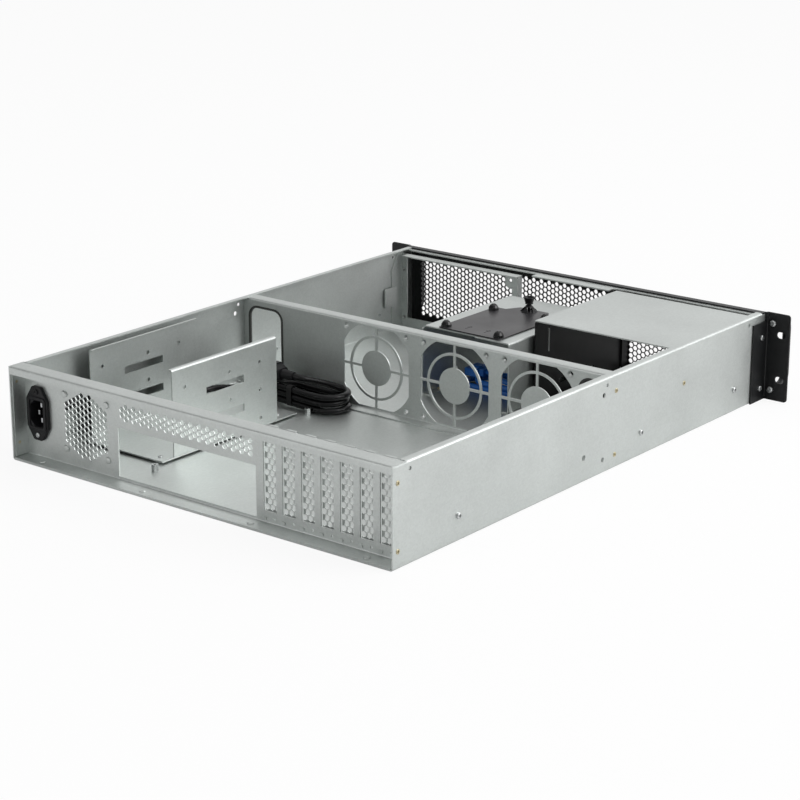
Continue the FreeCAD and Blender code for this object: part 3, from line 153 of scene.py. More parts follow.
# Galvanised sheet steel, hot dipped and skin passed: a dull silver with small frosty grains
# that differ a little in brightness, rolled streaks along the sheet and soft reflections.
# Grain, streak and cloud give a size and a share of the tone, bump a strength and a depth.
galvanisedSetup = {
    'light': '#CDD1CF',
    'dark': '#B9BDBB',
    'grain': (1.6, 0.3),
    'streak': (0.7, 0.25),
    'cloud': (70.0, 0.65),
    'stretch': 0.03,
    'stops': (0.25, 0.85),
    'roughness': 0.45,
    'spread': (0.06, 0.07),
    'span': (0.2, 0.9),
    'bump': (0.02, 0.2),
}


def galvanisedSheet(name, setup):
    material, tree = newMaterial(name)
    spot = addNode(tree, 'ShaderNodeTexCoord').outputs['Object']
    size, share = setup['grain']
    grain = addNode(tree, 'ShaderNodeTexVoronoi', {
        'Vector': spot, 'Scale': 1000 / size, 'Randomness': 1.0}).outputs['Color']
    stretched = addNode(tree, 'ShaderNodeMapping', {
        'Vector': spot, 'Scale': (1.0, setup['stretch'], 1.0)}).outputs['Vector']
    tone = addNode(tree, 'ShaderNodeMath', {0: grain, 1: share}, operation='MULTIPLY').outputs[0]
    for vector, (size, share), detail in ((stretched, setup['streak'], 2.0), (spot, setup['cloud'], 3.0)):
        layer = addNoise(tree, vector, size, detail)
        tone = addNode(
            tree, 'ShaderNodeMath', {0: layer, 1: share, 2: tone}, operation='MULTIPLY_ADD').outputs[0]
    shader = addNode(tree, 'ShaderNodeBsdfPrincipled', {
        'Base Color': addRamp(tree, tone, setup['stops'], twoTones(setup)),
        'Metallic': 1.0,
        'Roughness': addRoughness(tree, tone, setup['roughness'], setup['spread'], setup['span']),
        'Normal': addBump(tree, grain, *setup['bump'])})
    finishMaterial(tree, shader.outputs[0])
    return material


# Coats and mouldings: colour, roughness, gloss, grain in millimetres and strength of its relief.
coats = {
    # Powder coated steel: a satin black skin with a fine orange peel.
    'powderCoatedSteel': ('#151617', 0.42, 0.3, 1.2, 0.12),
    # Moulded ABS: black, spark eroded grain, a soft sheen.
    'mouldedAbs': ('#111113', 0.42, 0.28, 0.5, 0.10),
    # Moulded rubber: black, nearly matt.
    'mouldedRubber': ('#141414', 0.68, 0.35, 0.8, 0.08),
    # Blue PVC and nylon of the front leads: clear colour, soft gloss.
    'blueNylon': ('#1F63B5', 0.38, 0.5, 0.9, 0.05),
    # Black PVC jacket of the mains lead: smooth, extruded, softly glossy.
    'pvcJacket': ('#0B0B0C', 0.24, 0.25, 1.5, 0.05),
    # The tray's own coat is a lighter satin black, and its rubber mounts are glossy.
    'satinPowder': ('#2A292B', 0.38, 0.5, 1.0, 0.08),
    'glossyRubber': ('#0C0C0C', 0.18, 0.4, 1.0, 0.03),
    # The edging of the cable gates is a greyer extruded rubber.
    'extrudedEdging': ('#3A3B39', 0.6, 0.4, 0.8, 0.08),
    # Glass fibre board under green solder mask.
    'solderMask': ('#1D6A3A', 0.30, 0.5, 0.9, 0.05),
}
# What all coats share: broad patches that shift the colour and the roughness a little.
coatWear = {
    'patch': 1000 / 30, 'span': (0.3, 0.7), 'shades': (0.85, 1.15), 'spread': (0.05, 0.06), 'depth': 0.3}


def coatedSurface(name):
    colour, roughness, gloss, grain, bump = coats[name]
    material, tree = newMaterial(name)
    spot = addNode(tree, 'ShaderNodeTexCoord').outputs['Object']
    wear = addNoise(tree, spot, coatWear['patch'], 4.0)
    peel = addNoise(tree, spot, grain, 2.0)
    base = linearColour(colour)[:3]
    tones = [[min(1.0, c * shade) for c in base] + [1.0] for shade in coatWear['shades']]
    shader = addNode(tree, 'ShaderNodeBsdfPrincipled', {
        'Base Color': addRamp(tree, wear, coatWear['span'], tones),
        'Roughness': addRoughness(tree, wear, roughness, coatWear['spread'], coatWear['span']),
        'Normal': addBump(tree, peel, bump, coatWear['depth']),
        'Specular IOR Level': gloss})
    finishMaterial(tree, shader.outputs[0])
    return material


# Plated fasteners: zinc, brass and nickel, turned or rolled, then plated.
zincSetup = {'light': '#D9DBDA', 'dark': '#9DA1A2', 'roughness': 0.25, 'grain': 0.6}
brassSetup = {'light': '#D9D0B2', 'dark': '#A39877', 'roughness': 0.28, 'grain': 0.6}
nickelSetup = {'light': '#DADBDD', 'dark': '#A8AAAD', 'roughness': 0.18, 'grain': 0.5}
plating = {'stops': (0.3, 0.65), 'spread': (0.06, 0.12)}


def platedMetal(name, setup):
    material, tree = newMaterial(name)
    spot = addNode(tree, 'ShaderNodeTexCoord').outputs['Object']
    grain = addNoise(tree, spot, setup['grain'], 3.0)
    shader = addNode(tree, 'ShaderNodeBsdfPrincipled', {
        'Base Color': addRamp(tree, grain, plating['stops'], twoTones(setup)),
        'Metallic': 1.0,
        'Roughness': addRoughness(tree, grain, setup['roughness'], plating['spread'])})
    finishMaterial(tree, shader.outputs[0])
    return material


# Clear tinted acrylic of the two status lights.
lensSetup = {'dark': '#9FB6AE', 'light': '#C9D8D2', 'haze': 1000 / 900, 'roughness': 0.15, 'ior': 1.49,
             'clear': 0.35}


def tintedLens(name, setup):
    material, tree = newMaterial(name)
    spot = addNode(tree, 'ShaderNodeTexCoord').outputs['Object']
    haze = addNoise(tree, spot, setup['haze'], 2.0)
    shader = addNode(tree, 'ShaderNodeBsdfPrincipled', {
        'Base Color': addRamp(tree, haze, (0.0, 1.0), twoTones(setup)),
        'Roughness': setup['roughness'], 'IOR': setup['ior'], 'Transmission Weight': setup['clear']})
    finishMaterial(tree, shader.outputs[0])
    return material


finishes = {
    'galvanised': galvanisedSheet('galvanisedSheet', galvanisedSetup),
    'black_steel': coatedSurface('powderCoatedSteel'),
    'black_plastic': coatedSurface('mouldedAbs'),
    'black_rubber': coatedSurface('mouldedRubber'),
    'blue_plastic': coatedSurface('blueNylon'),
    'board_green': coatedSurface('solderMask'),
    'zinc_screw': platedMetal('zincPlate', zincSetup),
    'brass_screw': platedMetal('yellowChromate', brassSetup),
    'chrome_pin': platedMetal('nickelPlate', nickelSetup),
    'lens': tintedLens('tintedAcrylic', lensSetup),
}
jacketMaterial = coatedSurface('pvcJacket')
mountRubber = coatedSurface('glossyRubber')
trayCoat = coatedSurface('satinPowder')
edgingRubber = coatedSurface('extrudedEdging')

for part in frame['record']['subparts']:
    node = frame['nodes'][part['node']]
    node.data.materials.clear()
    node.data.materials.append(finishes[part['material_slot']])
print('finishes set')


# A cord: a smooth curve along its route, as thick as the real one.
def smoothCord(name, route, diameter, body='case'):
    curve = bpy.data.curves.new(name, 'CURVE')
    curve.dimensions = '3D'
    spline = curve.splines.new('NURBS')
    spline.points.add(len(route) - 1)
    for point, spot in zip(spline.points, route):
        point.co = (*place(*spot), 1.0)
        point.radius = mm(diameter) / 2  # the curve's own bounds take this in, so the depth below is 1
    spline.use_endpoint_u = True
    spline.order_u = 3
    spline.resolution_u = 6
    curve.bevel_depth = 1.0
    curve.bevel_resolution = 4
    curve.use_fill_caps = True
    cord = bpy.data.objects.new(name, curve)
    bpy.context.collection.objects.link(cord)
    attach(cord, body)
    return cord

foldReach = 1.05  # a smooth curve runs inside its points, so those of a fold stand out a little


# Points round one fold of a hank, between two angles and two heights.
def foldPoints(middleX, middleBack, radius, start, end, startZ, endZ, count=5):
    points = []
    reach = radius * foldReach
    for i in range(count):
        share = (i + 0.5) / count
        turn = radians(start + (end - start) * share)
        points.append((
            middleX + reach * cos(turn), middleBack + reach * sin(turn), startZ + (endZ - startZ) * share))
    return points


# The mains lead leaves the inlet, passes outside the supply cradle and lies in a flat hank.
mainsLead = {
    'diameter': 6.4,
    'route': [(196.3, 532.0, 43.2), (196.3, 516.0, 43.2), (205.2, 493.0, 32.5), (207.8, 462.0, 14.5),
              (207.6, 416.0, 6.0), (208.3, 370.0, 5.0), (207.8, 334.6, 7.9), (198.5, 317.6, 8.2),
              (182.0, 308.5, 8.2), (160.0, 308.5, 8.2)],
    'middle': 290.8,
    'radius': 18.0,
    'turns': [{'folds': (86.5, 138.0), 'near': (7.6, 4.8), 'far': 4.6},
              {'folds': (89.5, 135.0), 'near': (13.9, 11.3), 'far': 11.0},
              {'folds': (87.0, 136.5), 'near': (20.1, 17.8), 'far': 17.6}],
    'nearInset': 10.0,
    'farInsets': (12.0, 8.0),
    'toPlug': [(90.0, 273.4, 18.4), (99.0, 277.5, 21.0), (105.5, 287.5, 24.6),
               (109.5, 297.5, 28.2), (114.5, 302.2, 30.0), (120.0, 302.5, 30.25)],
    'length': 0.88,
}


def mainsPoints(sizes):
    points = list(sizes['route'])
    middle, radius = sizes['middle'], sizes['radius']
    near, far = middle + radius, middle - radius
    lowInset, highInset = sizes['farInsets']
    turns = sizes['turns']
    for i, turn in enumerate(turns):
        lowX, highX = turn['folds']
        startZ, lowZ = turn['near']
        farZ = turn['far']
        points += [(highX, near, startZ), (lowX + sizes['nearInset'], near, lowZ)]
        points += foldPoints(lowX, middle, radius, 90, 270, lowZ, farZ)
        if i + 1 < len(turns):
            points += [(lowX + lowInset, far, farZ), (highX - highInset, far, farZ)]
            points += foldPoints(highX, middle, radius, 270, 450, farZ, turns[i + 1]['near'][0])
    return points + sizes['toPlug']


# The data lead leaves the front board and lies in a smaller hank inside the drive cage.
dataLead = {
    'diameter': 5.5,
    'route': [(-20.0, 12.8, 20.0), (-20.0, 27.0, 20.0), (-23.5, 51.0, 10.5), (-30.5, 78.0, 5.0),
              (-36.0, 104.0, 4.4), (-36.0, 122.0, 4.4)],
    'middle': 140.2,
    'radius': 15.0,
    'turns': [{'folds': (-26.5, 19.0), 'near': 4.4, 'far': (4.8, 9.6)},
              {'folds': (-25.5, 5.0), 'near': 9.8, 'far': (10.2, 15.2)}],
    'nearInset': 6.0,
    'farInsets': (4.0, 8.0),
    'farDrop': 0.4,
    'farRise': 1.2,
    'foldRise': 0.2,
    'toHeader': [(-18.0, 154.5, 15.8), (-7.0, 150.0, 16.2), (2.0, 142.5, 16.35), (12.4, 140.0, 16.35)],
    'length': 0.54,
}


def dataPoints(sizes):
    points = list(sizes['route'])
    middle, radius = sizes['middle'], sizes['radius']
    near, far = middle + radius, middle - radius
    inset = sizes['nearInset']
    lowInset, highInset = sizes['farInsets']
    for i, turn in enumerate(sizes['turns']):
        lowX, highX = turn['folds']
        z = turn['near']
        farZ, endZ = turn['far']
        if i == 0:
            points += foldPoints(lowX, middle, radius, 190, 90, z, z, 3)
        points += [(lowX + inset, near, z), (highX - inset, near, z)]
        points += foldPoints(highX, middle, radius, 90, -90, z, farZ)
        points += [(highX - highInset, far, farZ + sizes['farRise']),
                   (lowX + lowInset, far, endZ - sizes['farDrop'])]
        points += foldPoints(lowX, middle, radius, -90, -270, endZ, endZ + sizes['foldRise'])
    return points + sizes['toHeader']


mainsCord = smoothCord('mainsCord', mainsPoints(mainsLead), mainsLead['diameter'])
mainsCord.data.materials.append(jacketMaterial)
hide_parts('mains_lead', 'mains_coil')
dataCord = smoothCord('dataCord', dataPoints(dataLead), dataLead['diameter'])
dataCord.data.materials.append(finishes['blue_plastic'])
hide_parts('data_lead', 'data_coil')
print('cords laid')


def pickOnly(*pieces):
    bpy.ops.object.select_all(action='DESELECT')
    for piece in pieces:
        piece.select_set(True)
    bpy.context.view_layer.objects.active = pieces[-1]


def applyModifier(piece, kind, **settings):
    pickOnly(piece)
    modifier = piece.modifiers.new(kind.lower(), kind)
    for name, value in settings.items():
        setattr(modifier, name, value)
    bpy.ops.object.modifier_apply(modifier=modifier.name)


# Nothing selected in the mesh, and vertices, edges or faces to be picked next.
def clearSelection(piece, kind):
    pickOnly(piece)
    bpy.ops.object.mode_set(mode='EDIT')
    bpy.ops.mesh.select_mode(type=kind)
    bpy.ops.mesh.select_all(action='DESELECT')
    bpy.ops.object.mode_set(mode='OBJECT')


# Round off the edges whose two ends pass a test.
def bevelEdges(piece, test, width, segments):
    clearSelection(piece, 'EDGE')
    for edge in piece.data.edges:
        edge.select = test(*(piece.data.vertices[i].co for i in edge.vertices))
    bpy.ops.object.mode_set(mode='EDIT')
    bpy.ops.mesh.bevel(offset=mm(width), segments=segments, affect='EDGES')
    bpy.ops.object.mode_set(mode='OBJECT')


def cutWith(piece, cutter, operation='DIFFERENCE'):
    applyModifier(piece, 'BOOLEAN', operation=operation, solver='EXACT', object=cutter)
    bpy.data.objects.remove(cutter)


def joinAll(pieces, name):
    pickOnly(*pieces)
    if len(pieces) > 1:
        bpy.ops.object.join()
    joined = bpy.context.object
    joined.name = name
    return joined


def copyOf(piece, offset=(0, 0, 0)):
    twin = piece.copy()
    twin.data = piece.data.copy()
    bpy.context.collection.objects.link(twin)
    twin.data.transform(Matrix.Translation(Vector(offset)))
    return twin


mergeReach = 0.002  # in millimetres
flatAngle = 0.5  # in degrees


# A copy of a part's own sheet, its loose triangles merged, ready to be worked on.
def copyOfNode(nodeName, name):
    source = frame['nodes'][nodeName]
    piece = source.copy()
    piece.data = source.data.copy()
    piece.parent = None
    piece.matrix_world = source.matrix_world
    piece.name = name
    bpy.context.collection.objects.link(piece)
    pickOnly(piece)
    bpy.ops.object.mode_set(mode='EDIT')
    bpy.ops.mesh.select_all(action='SELECT')
    bpy.ops.mesh.remove_doubles(threshold=mm(mergeReach))
    bpy.ops.mesh.select_all(action='SELECT')
    bpy.ops.mesh.dissolve_limited(angle_limit=radians(flatAngle))
    bpy.ops.object.mode_set(mode='OBJECT')
    if piece.data.has_custom_normals:
        bpy.ops.mesh.customdata_custom_splitnormals_clear()
    return piece


# A box between two places, with its edges along one direction rounded off.
def boxPiece(name, x0, x1, back0, back1, z0, z1, corner=0.0, along='y', segments=3):
    low = place(min(x0, x1), min(back0, back1), min(z0, z1))
    high = place(max(x0, x1), max(back0, back1), max(z0, z1))
    bpy.ops.object.select_all(action='DESELECT')
    bpy.ops.mesh.primitive_cube_add(size=1, location=(low + high) / 2)
    piece = bpy.context.object
    piece.name = name
    piece.scale = high - low
    bpy.ops.object.transform_apply()
    if corner > 0:
        axis = 'xyz'.index(along)
        bevelEdges(piece, lambda a, b: abs((a - b).normalized()[axis]) > 0.99, corner, segments)
    return piece


# A round bar along z or y, from its foot to its end, whose rim can be softened.
def roundPiece(name, diameter, x, back, z, length, axis='z', sides=24, top=None, rim=0.0):
    turn, step = {'y': ((-pi / 2, 0, 0), Vector((0, 1, 0))), 'z': ((0, 0, 0), Vector((0, 0, 1)))}[axis]
    foot = place(x, back, z)
    middle, end = foot + step * mm(length) / 2, foot + step * mm(length)
    bpy.ops.object.select_all(action='DESELECT')
    bpy.ops.mesh.primitive_cone_add(
        vertices=sides, radius1=mm(diameter) / 2, radius2=mm(diameter if top is None else top) / 2,
        depth=mm(abs(length)), location=middle, rotation=turn)
    piece = bpy.context.object
    piece.name = name
    if length < 0:
        bpy.ops.transform.rotate(value=pi, orient_axis='X', center_override=middle)
    bpy.ops.object.transform_apply()
    if rim > 0:
        bevelEdges(piece, lambda *ends: all(abs((spot - end).dot(step)) < 1e-6 for spot in ends), rim, 3)
    return piece


# Smooth where faces meet softly, give the finish, and let the piece ride on its body.
def finishPiece(piece, slotName, replaced=(), body='case', angle=30.0, material=None):
    pickOnly(piece)
    bpy.ops.object.shade_smooth_by_angle(angle=radians(angle))
    piece.data.materials.clear()
    piece.data.materials.append(material or finishes[slotName])
    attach(piece, body)
    if replaced:
        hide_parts(*replaced)
    return piece


punchLength = 6.0
punchVertices = 12
edgeShare = 0.9  # of a hole's half width, to lie inside the field


# Six-sided punches in offset columns (or rows), standing through a sheet that faces the rear.
# Those outside the wanted outline are deleted.
def hexPunches(x0, x1, z0, z1, pitch, hole, back, upright=True, wanted=None, step=None, pairUp=True):
    step = step or pitch * sqrt(3) / 2
    lift = pitch / 2 if pairUp else -pitch / 2
    across, down = (x1 - x0, z1 - z0) if upright else (z1 - z0, x1 - x0)
    columns = int((across - hole) / step) + 1
    rows = int((down - hole) / pitch) + 1
    bpy.ops.object.select_all(action='DESELECT')
    bpy.ops.mesh.primitive_cylinder_add(
        vertices=6, radius=mm(hole) / sqrt(3), depth=mm(punchLength),
        rotation=(pi / 2, radians(30 if upright else 0), 0))
    punch = bpy.context.object
    bpy.ops.object.transform_apply()
    moves = [(mm(step), 0, mm(lift)), (mm(2 * step), 0, 0), (0, 0, mm(pitch))]
    spans = [(columns - 1) * step, (rows - 1) * pitch]
    if not upright:
        moves, spans = [move[::-1] for move in moves], spans[::-1]
    beside, outward, sideways = moves
    punches = joinAll([copyOf(punch, beside), punch], 'punches')
    for count, move in ((columns // 2 + 1, outward), (rows, sideways)):
        applyModifier(
            punches, 'ARRAY', count=count, use_relative_offset=False, use_constant_offset=True,
            constant_offset_displace=move)
    firstX, firstZ = (x0 + x1 - spans[0]) / 2, (z0 + z1 - spans[1]) / 2
    if not pairUp:
        firstZ += pitch / 2
    punches.data.transform(Matrix.Translation(place(firstX, back, firstZ)))
    clearSelection(punches, 'VERT')
    vertices = punches.data.vertices
    reach = mm(hole) / 2 * edgeShare
    for first in range(0, len(vertices), punchVertices):
        group = range(first, first + punchVertices)
        centre = sum((vertices[i].co for i in group), Vector()) / punchVertices
        inside = (mm(x0) + reach <= centre.x <= mm(x1) - reach
                  and mm(z0) + reach <= centre.z <= mm(z1) - reach)
        keep = inside and (wanted is None or wanted(centre.x / millimetre, centre.z / millimetre))
        for i in group:
            vertices[i].select = not keep
    bpy.ops.object.mode_set(mode='EDIT')
    bpy.ops.mesh.delete(type='VERT')
    bpy.ops.object.mode_set(mode='OBJECT')
    return punches


# A field of the sheet is taken out and a sheet with the fine punching is set into the place.
def punchField(sheet, area, back0, back1, pitch, hole, corner=0.0, margin=0.0, wanted=None):
    x0, x1, z0, z1 = area
    cutWith(sheet, boxPiece(
        'opening', x0, x1, back0 - 2 * beyond, back1 + beyond, z0, z1, corner, segments=1))
    field = boxPiece('field', x0, x1, back0, back1, z0, z1, corner, segments=1)
    cutWith(field, hexPunches(
        x0 + margin, x1 - margin, z0 + margin, z1 - margin, pitch, hole, (back0 + back1) / 2, wanted=wanted))
    return joinAll([field, sheet], sheet.name)


# Rear panel: the board window and the slots stay as cut, the two vents get their fine punching.
# Four domes stand at the corners of the vent, and rivets hold the lower flange.
rearPanel = {
    'outer': 557.0,
    'punchedSheet': 0.75,
    'pitch': 5.5,
    'hole': 4.65,
    'vent': (137.8, 41.8),
    'ventHalf': (27.6, 31.4),
    'ventCorner': 15.2,
    'ventMargin': 0.6,
    'ventReach': 41.6,
    'strip': (-58.6, 98.0, 53.4, 74.4),
    'stripMargin': 0.5,
    'stripPunched': (-57.4, 96.4, 55.0, 73.2),
    'bossSpots': (26.08, 25.0),
    'boss': (6.3, 1.5, 1.25),
    'bossRoot': 0.2,
    'rivets': (-184.5, -61.5, 61.5, 184.5),
    'rivetBack': 566.8,
    'rivetFoot': 2.4,
    'rivet': (6.0, 1.1, 0.9),
}


def buildRearPanel(sizes):
    outer, inner = sizes['outer'], sizes['outer'] - sizes['punchedSheet']
    pitch, hole = sizes['pitch'], sizes['hole']
    panel = copyOfNode('rear_panel', 'rearPanelSheet')
    ventX, ventZ = sizes['vent']
    halfX, halfZ = sizes['ventHalf']
    panel = punchField(
        panel, (ventX - halfX, ventX + halfX, ventZ - halfZ, ventZ + halfZ), inner, outer, pitch, hole,
        sizes['ventCorner'], sizes['ventMargin'], wanted=lambda x, z: abs(x - ventX) + abs(z - ventZ) <
        sizes['ventReach'])
    px0, px1, pz0, pz1 = sizes['stripPunched']
    panel = punchField(
        panel, sizes['strip'], inner, outer, pitch, hole, margin=sizes['stripMargin'],
        wanted=lambda x, z: px0 < x < px1 and pz0 < z < pz1)
    finishPiece(panel, 'galvanised', ['rear_panel'])
    apartX, apartZ = sizes['bossSpots']
    wide, tall, rim = sizes['boss']
    root = sizes['bossRoot']
    spots = [(ventX + dx * apartX, ventZ + dz * apartZ) for dx in (-1, 1) for dz in (-1, 1)]
    bosses = [roundPiece('boss', wide, x, outer - root, z, tall + root, axis='y', rim=rim) for x, z in spots]
    finishPiece(joinAll(bosses, 'ventBosses'), 'galvanised')
    wide, tall, rim = sizes['rivet']
    rivets = [roundPiece('flangeRivet', wide, x, sizes['rivetBack'], sizes['rivetFoot'], tall, rim=rim)
              for x in sizes['rivets']]
    finishPiece(joinAll(rivets, 'flangeRivets'), 'galvanised')


buildRearPanel(rearPanel)
print('rear panel punched')


# Slot covers: a strip standing off the panel, with a foot, a rounded head and fine punching.
slotCover = {
    'count': 7,
    'firstEdge': -67.88,
    'pitch': 20.32,
    'window': 13.8,
    'width': 14.6,
    'corner': 1.2,
    'sheet': 0.8,
    'face': 554.0,
    'back': 555.7,
    'root': 0.4,
    'low': 8.6,
    'high': 85.2,
    'punchLow': 12.4,
    'punchHigh': 72.6,
    'punchReach': 8.2,
    'punchHalf': 6.4,
    'holePitch': 5.75,
    'hole': 4.7,
    'foot': (4.0, 0.8),
    'head': (0.6, 0.9, 0.3),
    'ear': (5.4, 3.6, 0.2, 1.6),
}


def buildSlotCovers(sizes):
    centre = sizes['firstEdge'] - sizes['window'] / 2
    half, sheet = sizes['width'] / 2, sizes['sheet']
    front, back, low, high = sizes['face'], sizes['back'], sizes['low'], sizes['high']
    strip = boxPiece(
        'slotCoverStrip', centre - half, centre + half, front - sheet, front, low, high, sizes['corner'],
        segments=2)
    cutWith(strip, hexPunches(
        centre - sizes['punchReach'], centre + sizes['punchReach'], sizes['punchLow'], sizes['punchHigh'],
        sizes['holePitch'], sizes['hole'], front - sheet / 2, upright=False,
        wanted=lambda x, z: abs(x - centre) < sizes['punchHalf']))
    wide, tall = sizes['foot']
    foot = boxPiece('foot', centre - wide, centre + wide, front - sizes['root'], back, low, low + tall)
    inset, tall, corner = sizes['head']
    head = boxPiece(
        'head', centre - half + inset, centre + half - inset, front - sizes['root'], back, high - tall, high,
        corner, along='z', segments=1)
    wide, deep, root, corner = sizes['ear']
    ear = boxPiece('ear', centre - wide, centre + wide, front - deep, front - root, high - tall, high, corner,
                   along='z')
    cover = joinAll([foot, head, ear, strip], 'slotCover1')
    for i in range(sizes['count']):
        piece = cover if i == 0 else copyOf(cover, (mm(-sizes['pitch'] * i), 0, 0))
        piece.name = 'slotCover' + str(i + 1)
        finishPiece(piece, 'galvanised', ['slot_cover_' + str(i + 1)])


buildSlotCovers(slotCover)
print('slot covers punched')


# Front panel: black sheet with fine punching, but for a plain border round the front controls.
frontField = {
    'across': (-52.0, 203.6),
    'height': (8.2, 78.4),
    'punched': (-48.0, 202.38, 10.0, 78.0),
    'outer': 0.0,
    'sheet': 1.5,
    'pitch': 5.44,
    'step': 4.773,
    'hole': 4.6,
    'border': 3,
    'plain': 2,
}


def buildFrontPanel(sizes):
    panel = copyOfNode('front_panel', 'frontPanelSheet')
    x0, x1 = sizes['across']
    z0, z1 = sizes['height']
    face, back = sizes['outer'], sizes['outer'] + sizes['sheet']
    border, plain = sizes['border'], sizes['plain']
    controlLow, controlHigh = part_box('control_panel')
    edge0, edge1 = controlLow.x / millimetre - border, controlHigh.x / millimetre + border
    top = controlHigh.z / millimetre + border
    # The field is cut in three, round the plate of the front controls.
    for fx0, fx1, fz0, fz1 in ((x0, edge0, z0, z1), (edge0, edge1, top, z1), (edge1, x1, z0, z1)):
        cutWith(panel, boxPiece('opening', fx0, fx1, face - beyond, back + beyond, fz0, fz1))
    field = boxPiece('field', x0, x1, face, back, z0, z1)
    cutWith(field, hexPunches(
        *sizes['punched'], sizes['pitch'], sizes['hole'], (face + back) / 2,
        wanted=lambda x, z: not (edge0 - plain < x < edge1 + plain and z < top + plain), step=sizes['step'],
        pairUp=False))
    cutWith(field, boxPiece('notch', edge0, edge1, face - beyond, back + beyond, z0 - beyond, top))
    panel = joinAll([field, panel], 'frontPanelSheet')
    finishPiece(panel, 'black_steel', ['front_panel'])


buildFrontPanel(frontField)

# Bay covers: the same sheet, punched over nearly the whole face.
coverField = {
    'sides': (3.4, 1.4), 'bottom': 2.0, 'top': 4.6, 'margin': 0.4, 'sheet': 1.0, 'pitch': 5.48, 'hole': 4.6}


def buildBayCovers(sizes):
    left, right = sizes['sides']
    for index in (1, 2):
        nodeName = 'bay_cover_' + str(index)
        low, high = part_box(nodeName)
        cover = copyOfNode(nodeName, 'bayCover' + str(index))
        area = (low.x / millimetre + left, high.x / millimetre - right,
                low.z / millimetre + sizes['bottom'], high.z / millimetre - sizes['top'])
        cover = punchField(
            cover, area, 0.0, sizes['sheet'], sizes['pitch'], sizes['hole'], margin=sizes['margin'])
        finishPiece(cover, 'black_steel', [nodeName])


buildBayCovers(coverField)
print('front punched')

screwTwist = (12, 37)  # in degrees: how the first screw is turned, and each next one more


# A pan head with its rim rolled over, a cross recess and a plain shank, standing at the origin.
# The recess's arms and the shank's root are shares of the head.
def screwShape(head, height, length, recess, shank=3.0, arm=0.29, halfArm=0.08, root=0.3):
    origin = -frontY
    shape = roundPiece('screwHead', head, 0, origin, 0, height, rim=height * 0.5)
    cutWith(shape, roundPiece('stem', shank, 0, origin, -length, length + height * root, sides=16), 'UNION')
    for across, along in ((arm, halfArm), (halfArm, arm)):
        cutWith(shape, boxPiece(
            'recess', -head * across, head * across, origin - head * along, origin + head * along,
            height - recess, height + beyond))
    return shape


# Copies of one shape at several spots, each turned to its direction and round itself.
def placeCopies(shape, spots, name):
    first, more = screwTwist
    copies = []
    for i, (spot, direction) in enumerate(spots):
        twin = copyOf(shape)
        aim = Vector(direction).to_track_quat('Z', 'Y').to_matrix().to_4x4()
        twist = Matrix.Rotation(radians(more * i + first), 4, 'Z')
        twin.data.transform(Matrix.Translation(spot) @ aim @ twist)
        copies.append(twin)
    bpy.data.objects.remove(shape)
    return joinAll(copies, name)


# The spots at the four corners of a part that is made of like pieces, standing at one height.
def cornerSpots(nodeName, head, z):
    low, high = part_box(nodeName)
    half = mm(head) / 2
    return [(Vector((x, y, mm(z))), (0, 0, 1))
            for x in (low.x + half, high.x - half) for y in (low.y + half, high.y - half)]


def sideSpots(x, pairs, sides=(-1, 1)):
    return [(place(side * x, back, z), (side, 0, 0)) for side in sides for back, z in pairs]


def rearSpots(nodeName, head, back):
    low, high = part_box(nodeName)
    half = mm(head) / 2
    columns = sorted({round(low.x + half, 5), round(high.x - half, 5)})
    rows = (low.z + half, high.z - half)
    return [(Vector((x, mm(back + frontY), z)), (0, 1, 0)) for x in columns for z in rows]


railScrew = {'head': 5.6, 'height': 1.9, 'length': 2.2, 'recess': 1.2}
wallScrew = {'head': 4.4, 'height': 0.5, 'length': 2.4, 'recess': 0.9}
cageScrew = {'head': 5.6, 'height': 1.6, 'length': 2.4, 'recess': 1.1}
cradleScrew = {'head': 4.4, 'height': 1.2, 'length': 3.1, 'recess': 0.8}
earScrew = {'head': 5.6, 'height': 1.4, 'length': 2.7, 'recess': 0.9}
handleScrew = {'head': 6.4, 'height': 1.9, 'length': 7.0, 'recess': 1.2}
inletScrew = {'head': 4.4, 'height': 1.0, 'shank': 2.6, 'length': 5.9, 'recess': 0.7}
screwPlaces = {
    'wallFace': 215.5,
    'earFace': 217.0,
    'rails': [(57.6, 22.2), (219.6, 22.2), (489.1, 22.2)],
    'walls': [(261.4, 12.6), (261.4, 71.3), (567.0, 15.05), (567.0, 71.45)],
    'bay': [(148.2, 50.7)],
    'ears': [(10.6, 12.4), (10.6, 62.8)],
    'cageSeat': 2.4,
    'cradleSeat': 4.3,
    'handleSeat': 1.5,
    'inletSeat': 560.2,
}


def buildScrews(places):
    face = places['wallFace']
    rails = sideSpots(face, places['rails'])
    walls = sideSpots(face, places['walls']) + sideSpots(face, places['bay'], (-1,))
    ears = sideSpots(places['earFace'], places['ears'])
    cage = cornerSpots('cage_screws', cageScrew['head'], places['cageSeat'])
    cradle = cornerSpots('cradle_screws', cradleScrew['head'], places['cradleSeat'])
    handles = rearSpots('handle_screws', handleScrew['head'], places['handleSeat'])
    inlets = rearSpots('inlet_screws', inletScrew['head'], places['inletSeat'])
    sets = [('rail_screws', 'railScrews', railScrew, rails, 'zinc_screw'),
            ('wall_screws', 'wallScrews', wallScrew, walls, 'brass_screw'),
            ('ear_screws', 'earScrews', earScrew, ears, 'zinc_screw'),
            ('cage_screws', 'cageScrews', cageScrew, cage, 'brass_screw'),
            ('cradle_screws', 'cradleScrews', cradleScrew, cradle, 'zinc_screw'),
            ('handle_screws', 'handleScrews', handleScrew, handles, 'zinc_screw'),
            ('inlet_screws', 'inletScrewLower', inletScrew, inlets[:1], 'zinc_screw'),
            # Painted shade: the upper inlet screw gets the black coat to stand for the shade it sits in,
            # while the lower one keeps its zinc plating.
            (None, 'inletScrewUpper', inletScrew, inlets[1:], 'black_steel')]
    for nodeName, name, sizes, spots, slotName in sets:
        finishPiece(placeCopies(screwShape(**sizes), spots, name), slotName, [nodeName] if nodeName else [])


buildScrews(screwPlaces)

